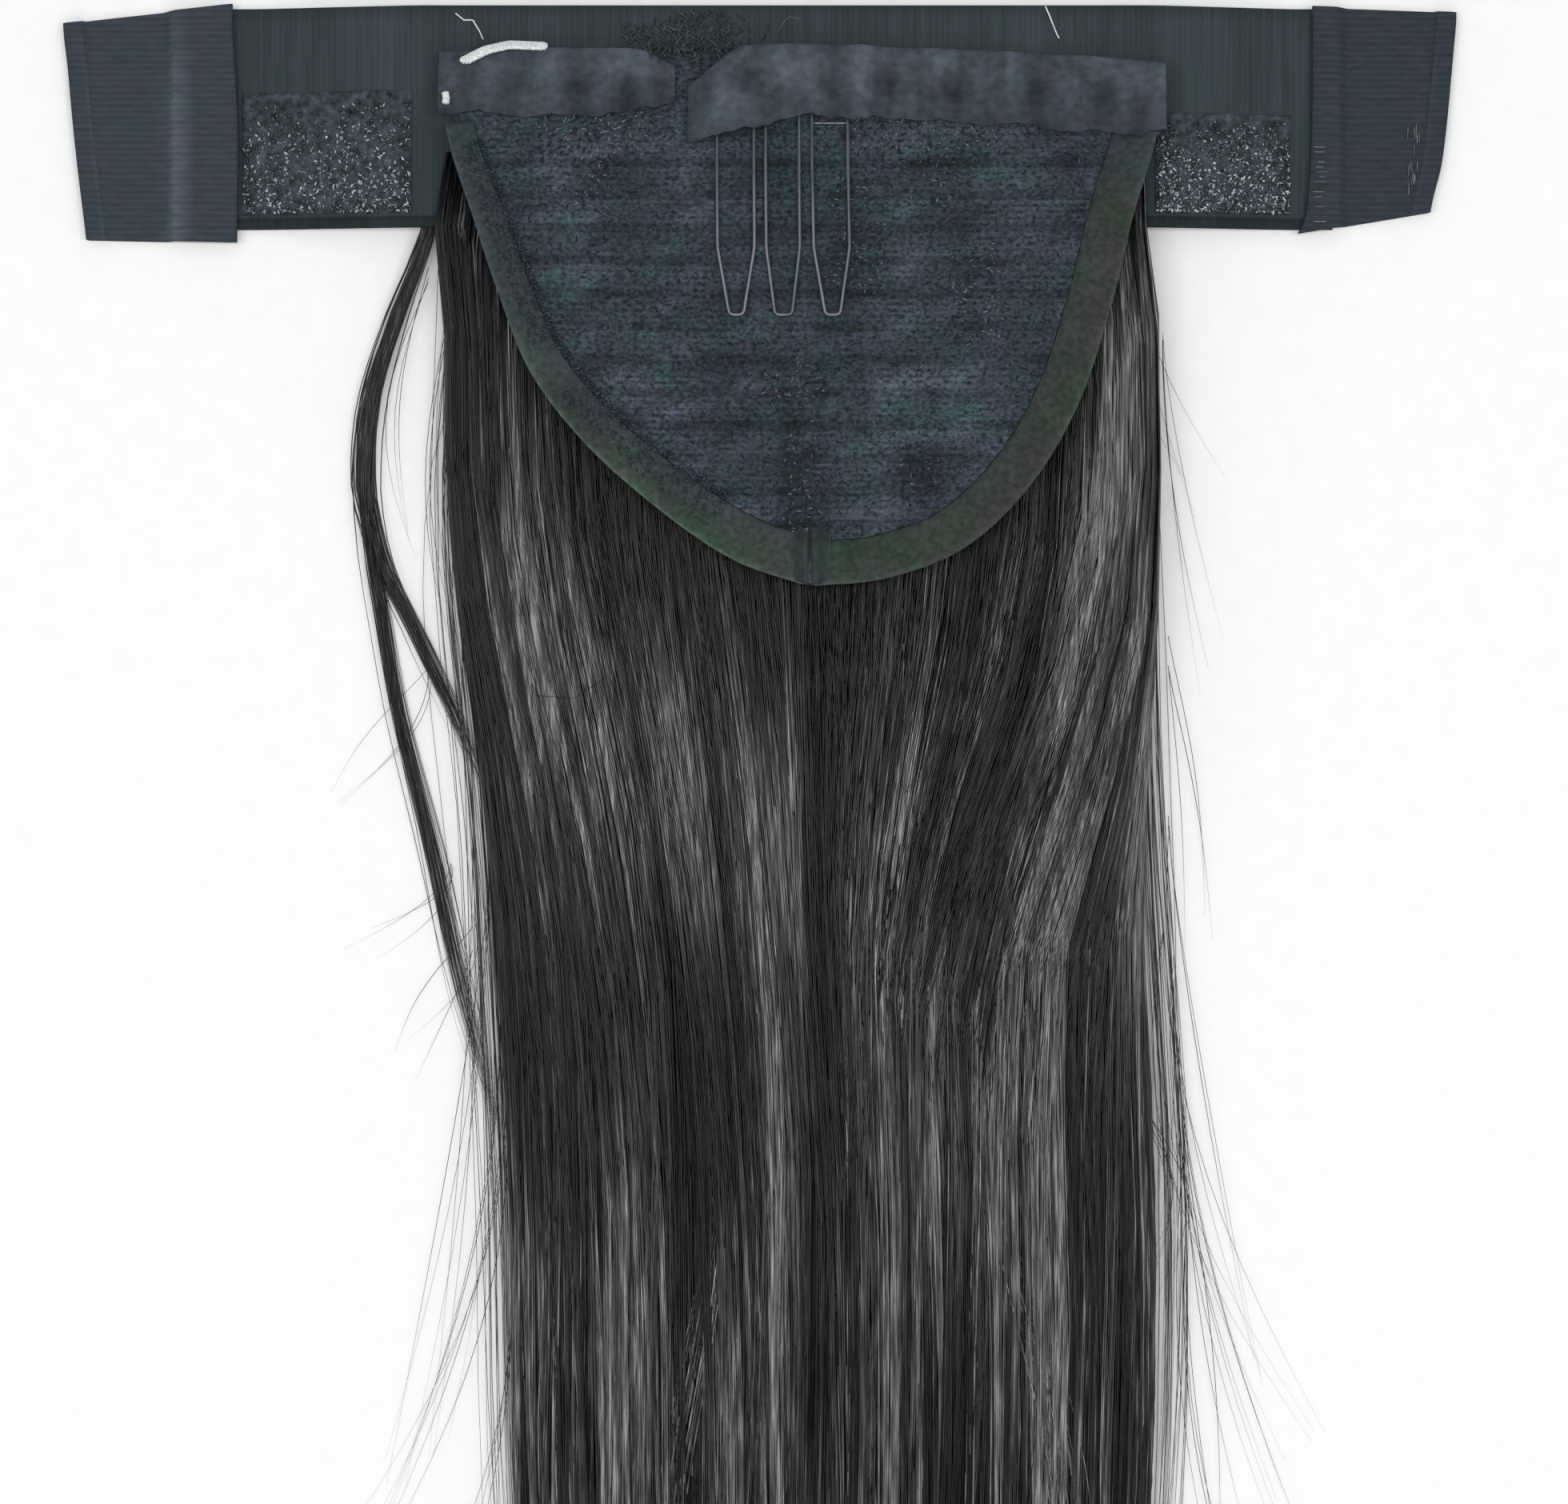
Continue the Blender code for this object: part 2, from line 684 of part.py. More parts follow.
def puckered_tape(name, rows):
    """A gathered tape: soft pleats across it, flat along its sewn top edge."""
    start, end = rows[0].x * MM, rows[-1].x * MM
    count = round((end - start) / TAPE_STEP) + 1
    upper, lower = [], []
    for x in steps(start, end, count):
        top = read_table(rows, x / MM, "upper") * MM
        bottom = read_table(rows, x / MM, "lower") * MM
        wave = 0.5 - 0.5 * math.cos(2 * math.pi * (x - start) / PUCKER_PITCH)
        top_line, bottom_line = [], []
        for share in steps(0.0, 1.0, 5):
            down = top + (bottom - top) * share
            pucker = PUCKER_HEIGHT * wave * math.sin(math.pi * min(1.0, share * 1.1 + 0.1))
            base = net_over(x, down) + GAP + comb_bulge(x) + max(0.0, pucker)
            top_line.append(point(x, down, base + TAPE_THICK))
            bottom_line.append(point(x, down, base))
        upper.append(top_line)
        lower.append(bottom_line)
    slab(name, upper, lower, "tape")


# Comb

def comb_route():
    """The wire's way: down, across and up each tooth, then over to the next."""
    route = []
    corner = COMB_CORNER
    for tooth in TEETH:
        for side in (-1, 1):
            leg = (tooth.top_x + side * tooth.spread / 2) * MM
            foot = (tooth.foot_x + side * tooth.foot / 2) * MM
            shoulder = leg + (tooth.foot_x - tooth.top_x) * MM * 0.6
            half = [(leg + side * corner, COMB_TOP_DOWN)]
            half += [(leg, down) for down in steps(COMB_TOP_DOWN + corner, COMB_BEND_DOWN, 4)]
            half += [
                (leg + (shoulder - leg) * 0.5, (COMB_BEND_DOWN + COMB_SHOULDER_DOWN) / 2),
                (shoulder, COMB_SHOULDER_DOWN),
                (foot, COMB_FOOT_DOWN - corner), (foot - side * corner, COMB_FOOT_DOWN),
            ]
            route += half if side == -1 else list(reversed(half))
    return route[1:-1]


def comb_wire():
    """One round wire bent into three teeth, lying on the net."""
    flat = comb_route()
    count = len(flat)
    rings = []
    for index, (x, down) in enumerate(flat):
        before, after = flat[max(index - 1, 0)], flat[min(index + 1, count - 1)]
        run_x, run_down = after[0] - before[0], after[1] - before[1]
        length = math.hypot(run_x, run_down)
        side_x, side_down = -run_down / length, run_x / length
        centre = net_over(x, down) + GAP + COMB_CLEAR + WIRE_RADIUS
        ring = []
        for step in range(WIRE_SIDES):
            turn = 2 * math.pi * step / WIRE_SIDES
            out = WIRE_RADIUS * math.cos(turn)
            ring.append(point(x + side_x * out, down + side_down * out,
                              centre + WIRE_RADIUS * math.sin(turn)))
        rings.append(ring)
    tube("comb_wire", rings, "comb_steel")


def main():
    clear_scene()
    hair_layer("hair_outer_layer", ROOT_OUTER_DOWN, 0.0, inner=False)
    hair_layer("hair_inner_layer", ROOT_INNER_DOWN, INNER_SHORTER, inner=True)
    loose_lock("loose_lock_outer", LOOSE_OUTER_ROWS, LOOSE_STEPS_OUTER)
    loose_lock("loose_lock_inner", LOOSE_INNER_ROWS, LOOSE_STEPS_INNER)
    wrap_strap()
    pile_pad("pile_left", -94.0 * MM, -62.8 * MM, 16.0 * MM, 38.2 * MM)
    pile_pad("pile_right", 71.4 * MM, 96.4 * MM, 20.0 * MM, 38.2 * MM)
    end_tab("end_tab_left", LEFT_TAB_ROWS, STRAP_LEFT_END, -1)
    end_tab("end_tab_right", RIGHT_TAB_ROWS, STRAP_RIGHT_END, 1)
    cap_net()
    edge_binding()
    weft_tracks()
    puckered_tape("top_tape_left", LEFT_TAPE_ROWS)
    puckered_tape("top_tape_right", RIGHT_TAPE_ROWS)
    comb_wire()


main()
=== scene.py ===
"""Dresses the ponytail hairpiece: strands, net, binding, tapes, strap, pile and comb.

Metres. X runs along the strap, Y towards the strap, Z up off the floor.
"down" is the distance from the top of the piece towards the hair tips, in millimetres.
"""

import math
from collections import namedtuple

import bpy
import numpy as np
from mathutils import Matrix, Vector


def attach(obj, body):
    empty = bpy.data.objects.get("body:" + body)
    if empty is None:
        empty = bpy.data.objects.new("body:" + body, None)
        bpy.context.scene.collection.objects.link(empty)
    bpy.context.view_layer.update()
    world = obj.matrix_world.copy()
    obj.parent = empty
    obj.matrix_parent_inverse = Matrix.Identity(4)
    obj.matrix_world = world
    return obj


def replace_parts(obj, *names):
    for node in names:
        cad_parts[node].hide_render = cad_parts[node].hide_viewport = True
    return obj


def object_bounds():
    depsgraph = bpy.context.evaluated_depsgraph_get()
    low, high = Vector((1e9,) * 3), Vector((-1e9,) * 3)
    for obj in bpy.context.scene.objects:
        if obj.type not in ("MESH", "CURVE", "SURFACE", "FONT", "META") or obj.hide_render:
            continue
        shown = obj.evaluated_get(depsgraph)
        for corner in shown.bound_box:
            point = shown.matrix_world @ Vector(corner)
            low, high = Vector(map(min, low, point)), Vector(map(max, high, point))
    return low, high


bl_info = {
    "name": "Ponytail Hairpiece Dresser",
    "version": (1, 0, 0),
    "blender": (4, 5, 0),
    "location": "View3D > Sidebar > Hairpiece",
    "description": "Builds the hair, net, binding, tapes, strap, pile and comb of a wrap-round ponytail",
    "category": "Add Mesh",
}

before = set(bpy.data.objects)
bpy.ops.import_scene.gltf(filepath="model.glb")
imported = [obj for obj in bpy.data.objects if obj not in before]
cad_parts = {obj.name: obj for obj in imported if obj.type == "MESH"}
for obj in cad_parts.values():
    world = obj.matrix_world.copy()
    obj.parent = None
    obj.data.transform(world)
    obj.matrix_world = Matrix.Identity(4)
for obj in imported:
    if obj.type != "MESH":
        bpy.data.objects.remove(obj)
CAD_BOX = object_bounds()

MM = 0.001
TOP_Y = CAD_BOX[1][1]
LENGTH = (CAD_BOX[1][1] - CAD_BOX[0][1]) / MM
HALF_SPAN = (CAD_BOX[1][0] - CAD_BOX[0][0]) / 2 / MM

# The stack of the piece, as the solids have it, in millimetres
STRAP_TOP = 0.7
STRAP_LOW = 40.7
STRAP_THICK = 1.2
STRAP_ENDS = (-105.5, 104.0)
SELVEDGE = 2.0
SELVEDGE_RISE = 0.35
GAP = 0.35
CAP_DEPTH = 106.2
NET_THICK = 1.0
NET_INSET = 1.7
RIM_RISE = 2.6
LEFT_CURL = 1.5
TAPE_THICK = 1.1
PUCKER_PITCH = 13.0
COMB_BULGE = 2.0
TAB_THICK = 1.2

# Places on the net, in millimetres
WEFT_FIRST = 31.1
WEFT_PITCH = 5.9
DART_X = 9.0
DART_TOP = 94.0
WORN_BORDER = 3.2
STITCH_PITCH = 1.15
EDGE_STITCHES = 1300

# Seeds of the random draws
SEED_TOP, SEED_UNDER, SEED_SIDES, SEED_FRINGE, SEED_CROSS = 101, 202, 303, 404, 707
SEED_NET, SEED_STRAP_LOOPS, SEED_STITCHES = 606, 77, 88

# Numbers of single pieces of thread and hair
SIDE_WISPS = 60
FRINGE_HAIRS = 64
STRAP_LOOPS = 320
TIP_STITCHES = 26
CORE_RIBS = 61

# Radii of the threads, in metres
NET_THREAD_RADIUS = 0.00015
LOOP_RADIUS = 0.00017
STITCH_RADIUS = 0.00014

# A row of pale stitches round the worn patch at the right of the net
PATCH_CORNERS = (0.0, 0.29, 0.5, 0.79, 1.0)
PATCH_X = (20.4, 37.8, 37.8, 20.4, 20.4)
PATCH_DOWN = (67.0, 67.0, 80.0, 80.0, 67.0)


def table(columns, *rows):
    """A short table: the names of its columns, and its rows."""
    row_type = namedtuple("Row", columns)
    return [row_type(*row) for row in rows]


HAIR_ROWS = table(
    "down left right middle crown side_drop",
    (2, -56.0, 70.0, 6.0, 6.4, 0.0),
    (26, -60.8, 69.2, 6.0, 7.9, 0.0),
    (30, -60.4, 69.2, 6.0, 9.3, 0.0),
    (42, -59.0, 69.6, 6.0, 10.9, 0.0),
    (57, -57.6, 73.2, 6.2, 11.4, 2.2),
    (86, -57.2, 74.5, 6.6, 11.9, 2.8),
    (107, -55.4, 74.0, 6.8, 12.4, 3.0),
    (144, -50.2, 74.2, 7.0, 13.4, 3.0),
    (173, -48.0, 75.7, 7.0, 13.2, 3.0),
    (216, -45.8, 77.8, 6.6, 12.6, 2.8),
    (272, -45.1, 77.1, 5.8, 11.2, 2.4),
    (330, -41.5, 73.0, 4.6, 8.6, 1.6),
    (407, -35.0, 66.0, 1.5, 2.7, 0.2),
)

LOCKS = table(
    "width crest groove tip_short",
    (0.70, 0.3, 0.5, 26),
    (1.00, 0.7, 0.6, 14),
    (1.15, 0.4, 0.9, 7),
    (0.85, 0.8, 0.5, 11),
    (1.20, 0.5, 1.0, 0),
    (0.95, 0.9, 0.6, 6),
    (1.10, 0.5, 1.7, 2),
    (1.05, 0.6, 0.8, 7),
    (0.90, 0.9, 0.6, 12),
    (1.20, 0.5, 1.1, 6),
    (1.00, 0.8, 0.5, 10),
    (1.10, 0.5, 0.9, 7),
    (0.85, 0.8, 0.6, 16),
    (0.75, 0.3, 0.5, 28),
)

RIM_ROWS = table(
    "along left_x left_down right_x right_down band",
    (0.00, -57.5, 9.2, 73.5, 11.3, 5.0),
    (0.14, -56.0, 25.0, 71.0, 26.0, 5.2),
    (0.28, -51.0, 40.4, 66.6, 40.4, 5.6),
    (0.42, -46.6, 53.5, 62.6, 56.5, 6.0),
    (0.55, -40.7, 68.1, 56.7, 74.0, 6.6),
    (0.68, -30.6, 81.2, 48.0, 88.5, 7.4),
    (0.80, -17.5, 92.8, 36.4, 99.4, 8.2),
    (0.91, -4.4, 101.6, 22.4, 104.8, 8.6),
    (1.00, 8.7, 106.2, 8.7, 106.2, 8.6),
)

CAP_ROWS = table(
    "down height",
    (8, 5.75), (14, 6.4), (20, 8.5), (28, 11.1),
    (36, 12.5), (46, 13.0), (70, 13.5), (108, 14.3),
)

STRAP_ROWS = table(
    "x height",
    (-106, 0.0), (-92, 0.0), (-77, 2.1), (-62, 4.1),
    (-55, 4.1), (60, 4.1), (71, 4.1), (84, 2.1),
    (97, 0.0), (105, 0.0),
)

LEFT_TAPE_ROWS = table(
    "x upper lower",
    (-57.6, 9.6, 20.6), (-40.0, 8.8, 21.4),
    (-27.0, 8.9, 21.0), (-15.2, 9.4, 18.8),
)
RIGHT_TAPE_ROWS = table(
    "x upper lower",
    (-13.0, 10.6, 26.2), (-6.0, 9.0, 25.0), (1.0, 8.5, 22.8),
    (9.0, 8.5, 21.8), (26.0, 8.8, 22.2), (50.0, 9.8, 23.6),
    (65.0, 10.8, 24.8), (73.0, 11.6, 24.2),
)

TEETH = table(
    "top_x foot_x spread foot",
    (-4.3, -4.1, 6.6, 2.5),
    (4.1, 4.3, 6.0, 3.0),
    (12.6, 13.1, 6.4, 2.6),
)

LEFT_TAB_ROWS = table(
    "down inset inner_x",
    (0.0, 0.2, -95.6), (3.2, 0.4, -95.6),
    (22.0, 2.0, -94.6), (43.2, 4.4, -94.8),
)
RIGHT_TAB_ROWS = table(
    "down inset inner_x",
    (0.4, 0.2, 100.2), (3.0, 0.3, 100.2), (24.0, 2.2, 100.0),
    (38.0, 4.3, 99.0), (41.6, 4.9, 97.6),
)

LOOSE_OUTER_ROWS = table(
    "down x height half_width",
    (34.0, -58.2, 3.3, 0.9), (42.6, -60.4, 3.2, 1.1), (57.0, -66.0, 1.9, 1.6),
    (72.0, -70.4, 1.5, 1.9), (87.0, -71.6, 1.4, 1.9),
    (99.0, -70.6, 1.4, 1.5), (110.0, -68.8, 1.4, 1.3),
    (129.0, -65.5, 1.3, 1.2), (152.5, -59.7, 1.2, 1.4),
    (180.0, -53.8, 1.1, 1.5), (206.0, -46.6, 1.8, 1.0),
)
LOOSE_INNER_ROWS = table(
    "down x height half_width",
    (96.0, -70.0, 1.5, 1.6), (104.0, -67.4, 1.5, 1.5), (112.0, -63.4, 1.5, 1.5),
    (120.0, -59.6, 1.6, 1.6), (129.0, -55.4, 1.7, 1.4),
    (142.0, -50.2, 2.4, 0.9),
)

CROSS_LOCKS = table(
    "name points half_width tone count",
    ("s_curve", ((-5.0, 200), (-8.5, 230), (-13.5, 253), (-17.5, 278), (-18.0, 320)),
     2.2, 0.85, 22),
    ("right_over", ((60.5, 100), (54.0, 128), (45.0, 156), (38.0, 190), (36.0, 250)),
     2.2, 0.46, 34),
    ("right_under", ((26.0, 150), (20.0, 176), (17.0, 205), (17.5, 240), (18.0, 290)),
     1.7, 0.50, 26),
    ("low_right", ((40.0, 205), (46.0, 228), (53.0, 250), (57.5, 272), (58.0, 320)),
     3.2, 0.85, 16),
    ("left_mid", ((-36.0, 120), (-31.0, 150), (-22.0, 185), (-21.0, 230), (-24.0, 300)),
     2.0, 0.42, 28),
)

# Streaks of painted sheen (gain above 0) and painted shade (gain below 0) on the hair's tone, each running
# from a start to an end, with a width
PAINTED_SHEEN_AND_SHADE = table(
    "x down end_x end_down width gain",
    (-45.5, 84, -37.5, 142, 4.5, 0.60),
    (-32.0, 104, -27.0, 150, 4.5, 0.22),
    (-24.4, 116, -17.0, 154, 4.0, 0.28),
    (-13.5, 120, -11.5, 163, 3.5, 0.38),
    (2.2, 128, 3.0, 164, 4.0, 0.48),
    (10.3, 106, 10.5, 276, 2.5, -1.00),
    (-44.0, 158, -41.0, 214, 6.0, -0.80),
    (-30.0, 164, -26.0, 204, 7.0, -0.80),
    (-11.0, 170, -9.0, 220, 7.0, -0.90),
    (-55.0, 50, -51.0, 160, 4.5, -0.75),
    (65.4, 62, 61.5, 106, 3.8, 0.95),
    (61.0, 106, 50.0, 138, 3.6, 0.45),
    (55.0, 94, 34.0, 127, 3.2, 0.50),
    (34.0, 127, 14.6, 176, 2.6, 0.42),
    (52.4, 76, 51.0, 122, 1.3, -0.55),
    (70.5, 80, 70.5, 112, 2.0, -0.35),
    (62.5, 112, 62.0, 146, 2.6, -0.45),
    (69.0, 114, 68.0, 172, 2.8, 0.85),
    (40.0, 130, 38.0, 162, 6.0, -0.40),
    (21.5, 158, 20.5, 180, 3.0, 0.30),
    (64.0, 166, 65.0, 276, 3.0, -0.55),
    (50.0, 150, 40.0, 206, 8.0, 0.28),
    (2.0, 184, 2.5, 245, 4.5, 0.30),
    (30.7, 186, 31.5, 215, 2.2, 0.30),
    (-37.5, 238, -38.0, 276, 3.0, 0.30),
    (-25.0, 215, -25.0, 290, 4.0, -0.16),
    (0.5, 252, 1.0, 280, 2.0, 0.30),
    (24.0, 248, 24.5, 276, 1.6, 0.35),
    (39.0, 240, 38.0, 290, 8.0, -0.30),
)

# Areas of the net where the knit is paler or darker, and its stitches stand out
WORN = table(
    "x down half_x half_down shade specks",
    (29.3, 73.5, 9.2, 6.3, 0.16, 0.0),
    (28.5, 86.0, 3.4, 4.8, -0.14, 1.0),
    (5.8, 69.0, 6.0, 4.2, -0.14, 0.9),
    (7.5, 86.0, 3.8, 12.0, -0.15, 0.8),
    (39.0, 53.5, 5.2, 9.0, -0.04, 0.9),
    (18.0, 43.0, 5.8, 11.0, -0.12, 0.7),
    (30.6, 34.0, 4.6, 4.6, -0.08, 0.8),
    (-30.4, 34.0, 3.4, 5.6, -0.04, 1.0),
    (-36.6, 33.6, 3.0, 2.8, 0.14, 0.2),
    (-24.0, 70.0, 4.2, 3.0, 0.16, 0.3),
    (-30.0, 24.5, 10.0, 4.6, 0.04, 1.2),
    (30.0, 25.0, 14.0, 4.0, 0.04, 1.1),
)


# Curves through short tables

def read_table(rows, at, column):
    """Values of a column on the smooth curve through a table's rows."""
    keys = np.array([row[0] for row in rows], float)
    values = np.array([getattr(row, column) for row in rows], float)
    at = np.clip(np.asarray(at, float), keys[0], keys[-1])
    ahead = np.minimum(np.arange(len(keys)) + 1, len(keys) - 1)
    behind = np.maximum(np.arange(len(keys)) - 1, 0)
    slopes = (values[ahead] - values[behind]) / (keys[ahead] - keys[behind])
    index = np.clip(np.searchsorted(keys, at) - 1, 0, len(keys) - 2)
    run = keys[index + 1] - keys[index]
    t = (at - keys[index]) / run
    return ((2 * t ** 3 - 3 * t ** 2 + 1) * values[index]
            + (t ** 3 - 2 * t ** 2 + t) * slopes[index] * run
            + (3 * t ** 2 - 2 * t ** 3) * values[index + 1]
            + (t ** 3 - t ** 2) * slopes[index + 1] * run)


def smooth_step(value):
    """0 to 1 with soft ends."""
    value = np.clip(value, 0.0, 1.0)
    return value * value * (3.0 - 2.0 * value)


def place(x, down, z):
    """Points in metres from millimetres across, down and up."""
    x, down, z = np.broadcast_arrays(x, down, z)
    return np.stack([x * MM, TOP_Y - down * MM, z * MM], axis=-1)


def ripple(a, b, seed, octaves=3):
    """A soft, repeatable unevenness over two directions, about -1 to 1."""
    rng = np.random.default_rng(seed)
    total = np.zeros(np.broadcast(a, b).shape)
    size = 1.0
    for octave in range(octaves):
        for _ in range(4):
            turn = rng.uniform(0, 2 * math.pi)
            pitch = size * rng.uniform(0.7, 1.4)
            phase = rng.uniform(0, 2 * math.pi)
            total = total + np.sin((a * math.cos(turn) + b * math.sin(turn)) * pitch + phase) / 2 ** octave
        size *= 2.1
    return total / 4


# Heights of the stack, in millimetres

def strap_under(x):
    """Underside of the strap."""
    return np.maximum(0.0, read_table(STRAP_ROWS, x, "height"))


def rim_x(down, side):
    """Where the cap's rim crosses a line across the cap."""
    downs = [getattr(row, side + "_down") for row in RIM_ROWS]
    places = [getattr(row, side + "_x") for row in RIM_ROWS]
    return np.interp(down, downs, places)


def rim_down(x):
    """How far down the cap's rim is at each place across."""
    left = np.interp(x, [row.left_x for row in RIM_ROWS], [row.left_down for row in RIM_ROWS])
    back = RIM_ROWS[::-1]
    right = np.interp(x, [row.right_x for row in back], [row.right_down for row in back])
    return np.where(x < RIM_ROWS[-1].left_x, left, right)


def net_under(x, down):
    """Underside of the net: raised by the hair, with its rim curling up."""
    left, right = rim_x(down, "left"), rim_x(down, "right")
    across = np.clip((x - left) / np.maximum(right - left, 1.0), 0.0, 1.0)
    depth = np.clip(down / CAP_DEPTH, 0.0, 1.0)
    dish = 1 - (1 - np.abs(2 * across - 1) ** 4) * (1 - depth ** 8)
    free = smooth_step((down - 24) / 26)
    curl = LEFT_CURL * np.maximum(0.0, 1 - 2 * across) ** 4 * (1 - depth ** 4)
    return read_table(CAP_ROWS, down, "height") + free * (RIM_RISE * dish + curl)


def net_over(x, down):
    """Upper face of the net."""
    return net_under(x, down) + NET_THICK


def rim_point(along, side):
    """A place on the cap's outline."""
    return (read_table(RIM_ROWS, along, side + "_x"), read_table(RIM_ROWS, along, side + "_down"))


def inset_rim(along, side, distance):
    """A rim place moved in towards the middle of the cap."""
    ahead = rim_point(np.minimum(along + 0.01, 1.0), side)
    behind = rim_point(np.maximum(along - 0.01, 0.0), side)
    run_x, run_down = ahead[0] - behind[0], ahead[1] - behind[1]
    length = np.hypot(run_x, run_down)
    turn = 1 if side == "left" else -1
    here = rim_point(along, side)
    return (here[0] + turn * distance * run_down / length,
            here[1] - turn * distance * run_x / length)


def binding_height(share):
    """Top of the binding above the net, from the rim (0) to its thin inner edge (1)."""
    return GAP + 1.0 - 0.85 * smooth_step((share - 0.30) / 0.70)


def comb_bulge(x):
    """The tape is lifted where the comb's wire passes under it."""
    left = TEETH[0].top_x - TEETH[0].spread / 2 - 2.5
    right = TEETH[-1].top_x + TEETH[-1].spread / 2 + 2.5
    return COMB_BULGE * smooth_step((x - left + 4) / 4) * smooth_step((right + 4 - x) / 4)


# Meshes

def new_piece(name, points, faces, material, tone=None, tint=None):
    """A mesh piece from points in metres and lists of equal-sided faces."""
    mesh = bpy.data.meshes.new(name)
    points = np.ascontiguousarray(points.reshape(-1, 3), np.float32)
    faces = [np.asarray(part, np.int32) for part in faces if len(part)]
    mesh.vertices.add(len(points))
    mesh.vertices.foreach_set("co", points.ravel())
    corners = np.concatenate([part.ravel() for part in faces])
    sizes = np.concatenate([np.full(len(part), part.shape[1]) for part in faces])
    mesh.loops.add(len(corners))
    mesh.loops.foreach_set("vertex_index", corners)
    mesh.polygons.add(len(sizes))
    mesh.polygons.foreach_set("loop_start", np.concatenate([[0], np.cumsum(sizes)[:-1]]).astype(np.int32))
    mesh.update(calc_edges=True)
    mesh.validate()
    for label, values in (("tone", tone), ("tint", tint)):
        if values is not None:
            layer = mesh.attributes.new(label, "FLOAT", "POINT")
            layer.data.foreach_set("value", np.ascontiguousarray(values.ravel(), np.float32))
    mesh.shade_smooth()
    mesh.materials.append(material)
    piece = bpy.data.objects.new(name, mesh)
    bpy.context.scene.collection.objects.link(piece)
    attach(piece, "root")
    return piece


def grid_faces(rows, columns, closed=False, start=0, flip=False):
    """Quads over a grid of points, joined round where closed."""
    last = columns if closed else columns - 1
    row, column = np.meshgrid(np.arange(rows - 1), np.arange(last), indexing="ij")
    after = (column + 1) % columns
    quads = np.stack([row * columns + column, row * columns + after,
                      (row + 1) * columns + after, (row + 1) * columns + column], axis=-1)
    quads = quads.reshape(-1, 4) + start
    return quads[:, ::-1] if flip else quads


def slab_faces(rows, columns):
    """Faces of a solid between an upper and a lower sheet of points."""
    under = rows * columns
    upper = grid_faces(rows, columns, flip=True)
    lower = grid_faces(rows, columns, start=under)
    border = list(range(columns))
    border += [row * columns + columns - 1 for row in range(1, rows)]
    border += [(rows - 1) * columns + column for column in range(columns - 2, -1, -1)]
    border += [row * columns for row in range(rows - 2, 0, -1)]
    border = np.array(border)
    after = np.roll(border, -1)
    sides = np.stack([border, after, under + after, under + border], axis=-1)
    return [np.concatenate([upper, lower, sides])]


def slab(name, upper, lower, material, tone=None):
    """A closed sheet of cloth between two grids of points."""
    rows, columns = upper.shape[:2]
    points = np.concatenate([upper.reshape(-1, 3), lower.reshape(-1, 3)])
    if tone is not None:
        tone = np.concatenate([tone.ravel(), tone.ravel()])
    return new_piece(name, points, slab_faces(rows, columns), material, tone)


def loft(name, rings, material, tone=None, tint=None):
    """A closed solid through a row of closed sections."""
    rows, columns = rings.shape[:2]
    faces = [grid_faces(rows, columns, closed=True)]
    faces.append(np.arange(columns)[None, ::-1])
    faces.append(np.arange((rows - 1) * columns, rows * columns)[None, :])
    return new_piece(name, rings, faces, material, tone, tint)


def strand_points(lines, radii, sides):
    """Rings round many centre lines at once: strands, stations, sides."""
    run = np.gradient(lines, axis=1)
    run /= np.maximum(np.linalg.norm(run, axis=-1, keepdims=True), 1e-9)
    up = np.broadcast_to(np.array([0.0, 0.0, 1.0]), run.shape)
    across = np.cross(run, up)
    size = np.linalg.norm(across, axis=-1, keepdims=True)
    across = np.where(size > 0.05, across / np.maximum(size, 1e-9), np.array([1.0, 0.0, 0.0]))
    up = np.cross(across, run)
    turns = math.pi / 2 + 2 * math.pi * np.arange(sides) / sides
    ring = (across[:, :, None, :] * np.cos(turns)[None, None, :, None]
            + up[:, :, None, :] * np.sin(turns)[None, None, :, None])
    return lines[:, :, None, :] + ring * radii[:, :, None, None]


def strands(name, lines, radii, tones, material, sides=3):
    """Many closed strands in one piece, each a tapering tube."""
    count, stations = lines.shape[:2]
    points = strand_points(lines, radii, sides)
    quads = grid_faces(stations, sides, closed=True, flip=True)
    first = (np.arange(count) * stations * sides)[:, None, None]
    quads = (quads[None] + first).reshape(-1, 4)
    start_cap = np.arange(sides)[None] + first[:, 0]
    end_cap = (np.arange(sides)[::-1] + (stations - 1) * sides)[None] + first[:, 0]
    tone = np.broadcast_to(np.asarray(tones), (count, stations)) if np.ndim(tones) == 2 else (
        np.repeat(np.asarray(tones)[:, None], stations, axis=1))
    tone = np.repeat(tone[:, :, None], sides, axis=2)
    caps = np.concatenate([start_cap, end_cap])
    return new_piece(name, points, [quads, caps], material, tone)


# Materials

def principled(name, colour, roughness, metallic=0.0, specular=0.5):
    """A material with its Principled shader."""
    material = bpy.data.materials.new(name)
    material.use_nodes = True
    shader = material.node_tree.nodes["Principled BSDF"]
    shader.inputs["Base Color"].default_value = (*colour, 1.0)
    shader.inputs["Roughness"].default_value = roughness
    shader.inputs["Metallic"].default_value = metallic
    shader.inputs["Specular IOR Level"].default_value = specular
    return material


def link(material, source, target):
    """Joins two sockets."""
    material.node_tree.links.new(source, target)


def shader_of(material):
    """The Principled shader of a material."""
    return material.node_tree.nodes["Principled BSDF"]


def ramp(material, factor, stops):
    """A colour ramp from position, colour pairs."""
    made = material.node_tree.nodes.new("ShaderNodeValToRGB")
    elements = made.color_ramp.elements
    while len(elements) < len(stops):
        elements.new(0.5)
    for element, (position, colour) in zip(elements, stops):
        element.position = position
        element.color = (*colour, 1.0)
    link(material, factor, made.inputs["Fac"])
    return made.outputs["Color"]


def painted(material, label="tone"):
    """The tone or tint painted on a piece's points."""
    made = material.node_tree.nodes.new("ShaderNodeAttribute")
    made.attribute_name = label
    return made.outputs["Fac"]


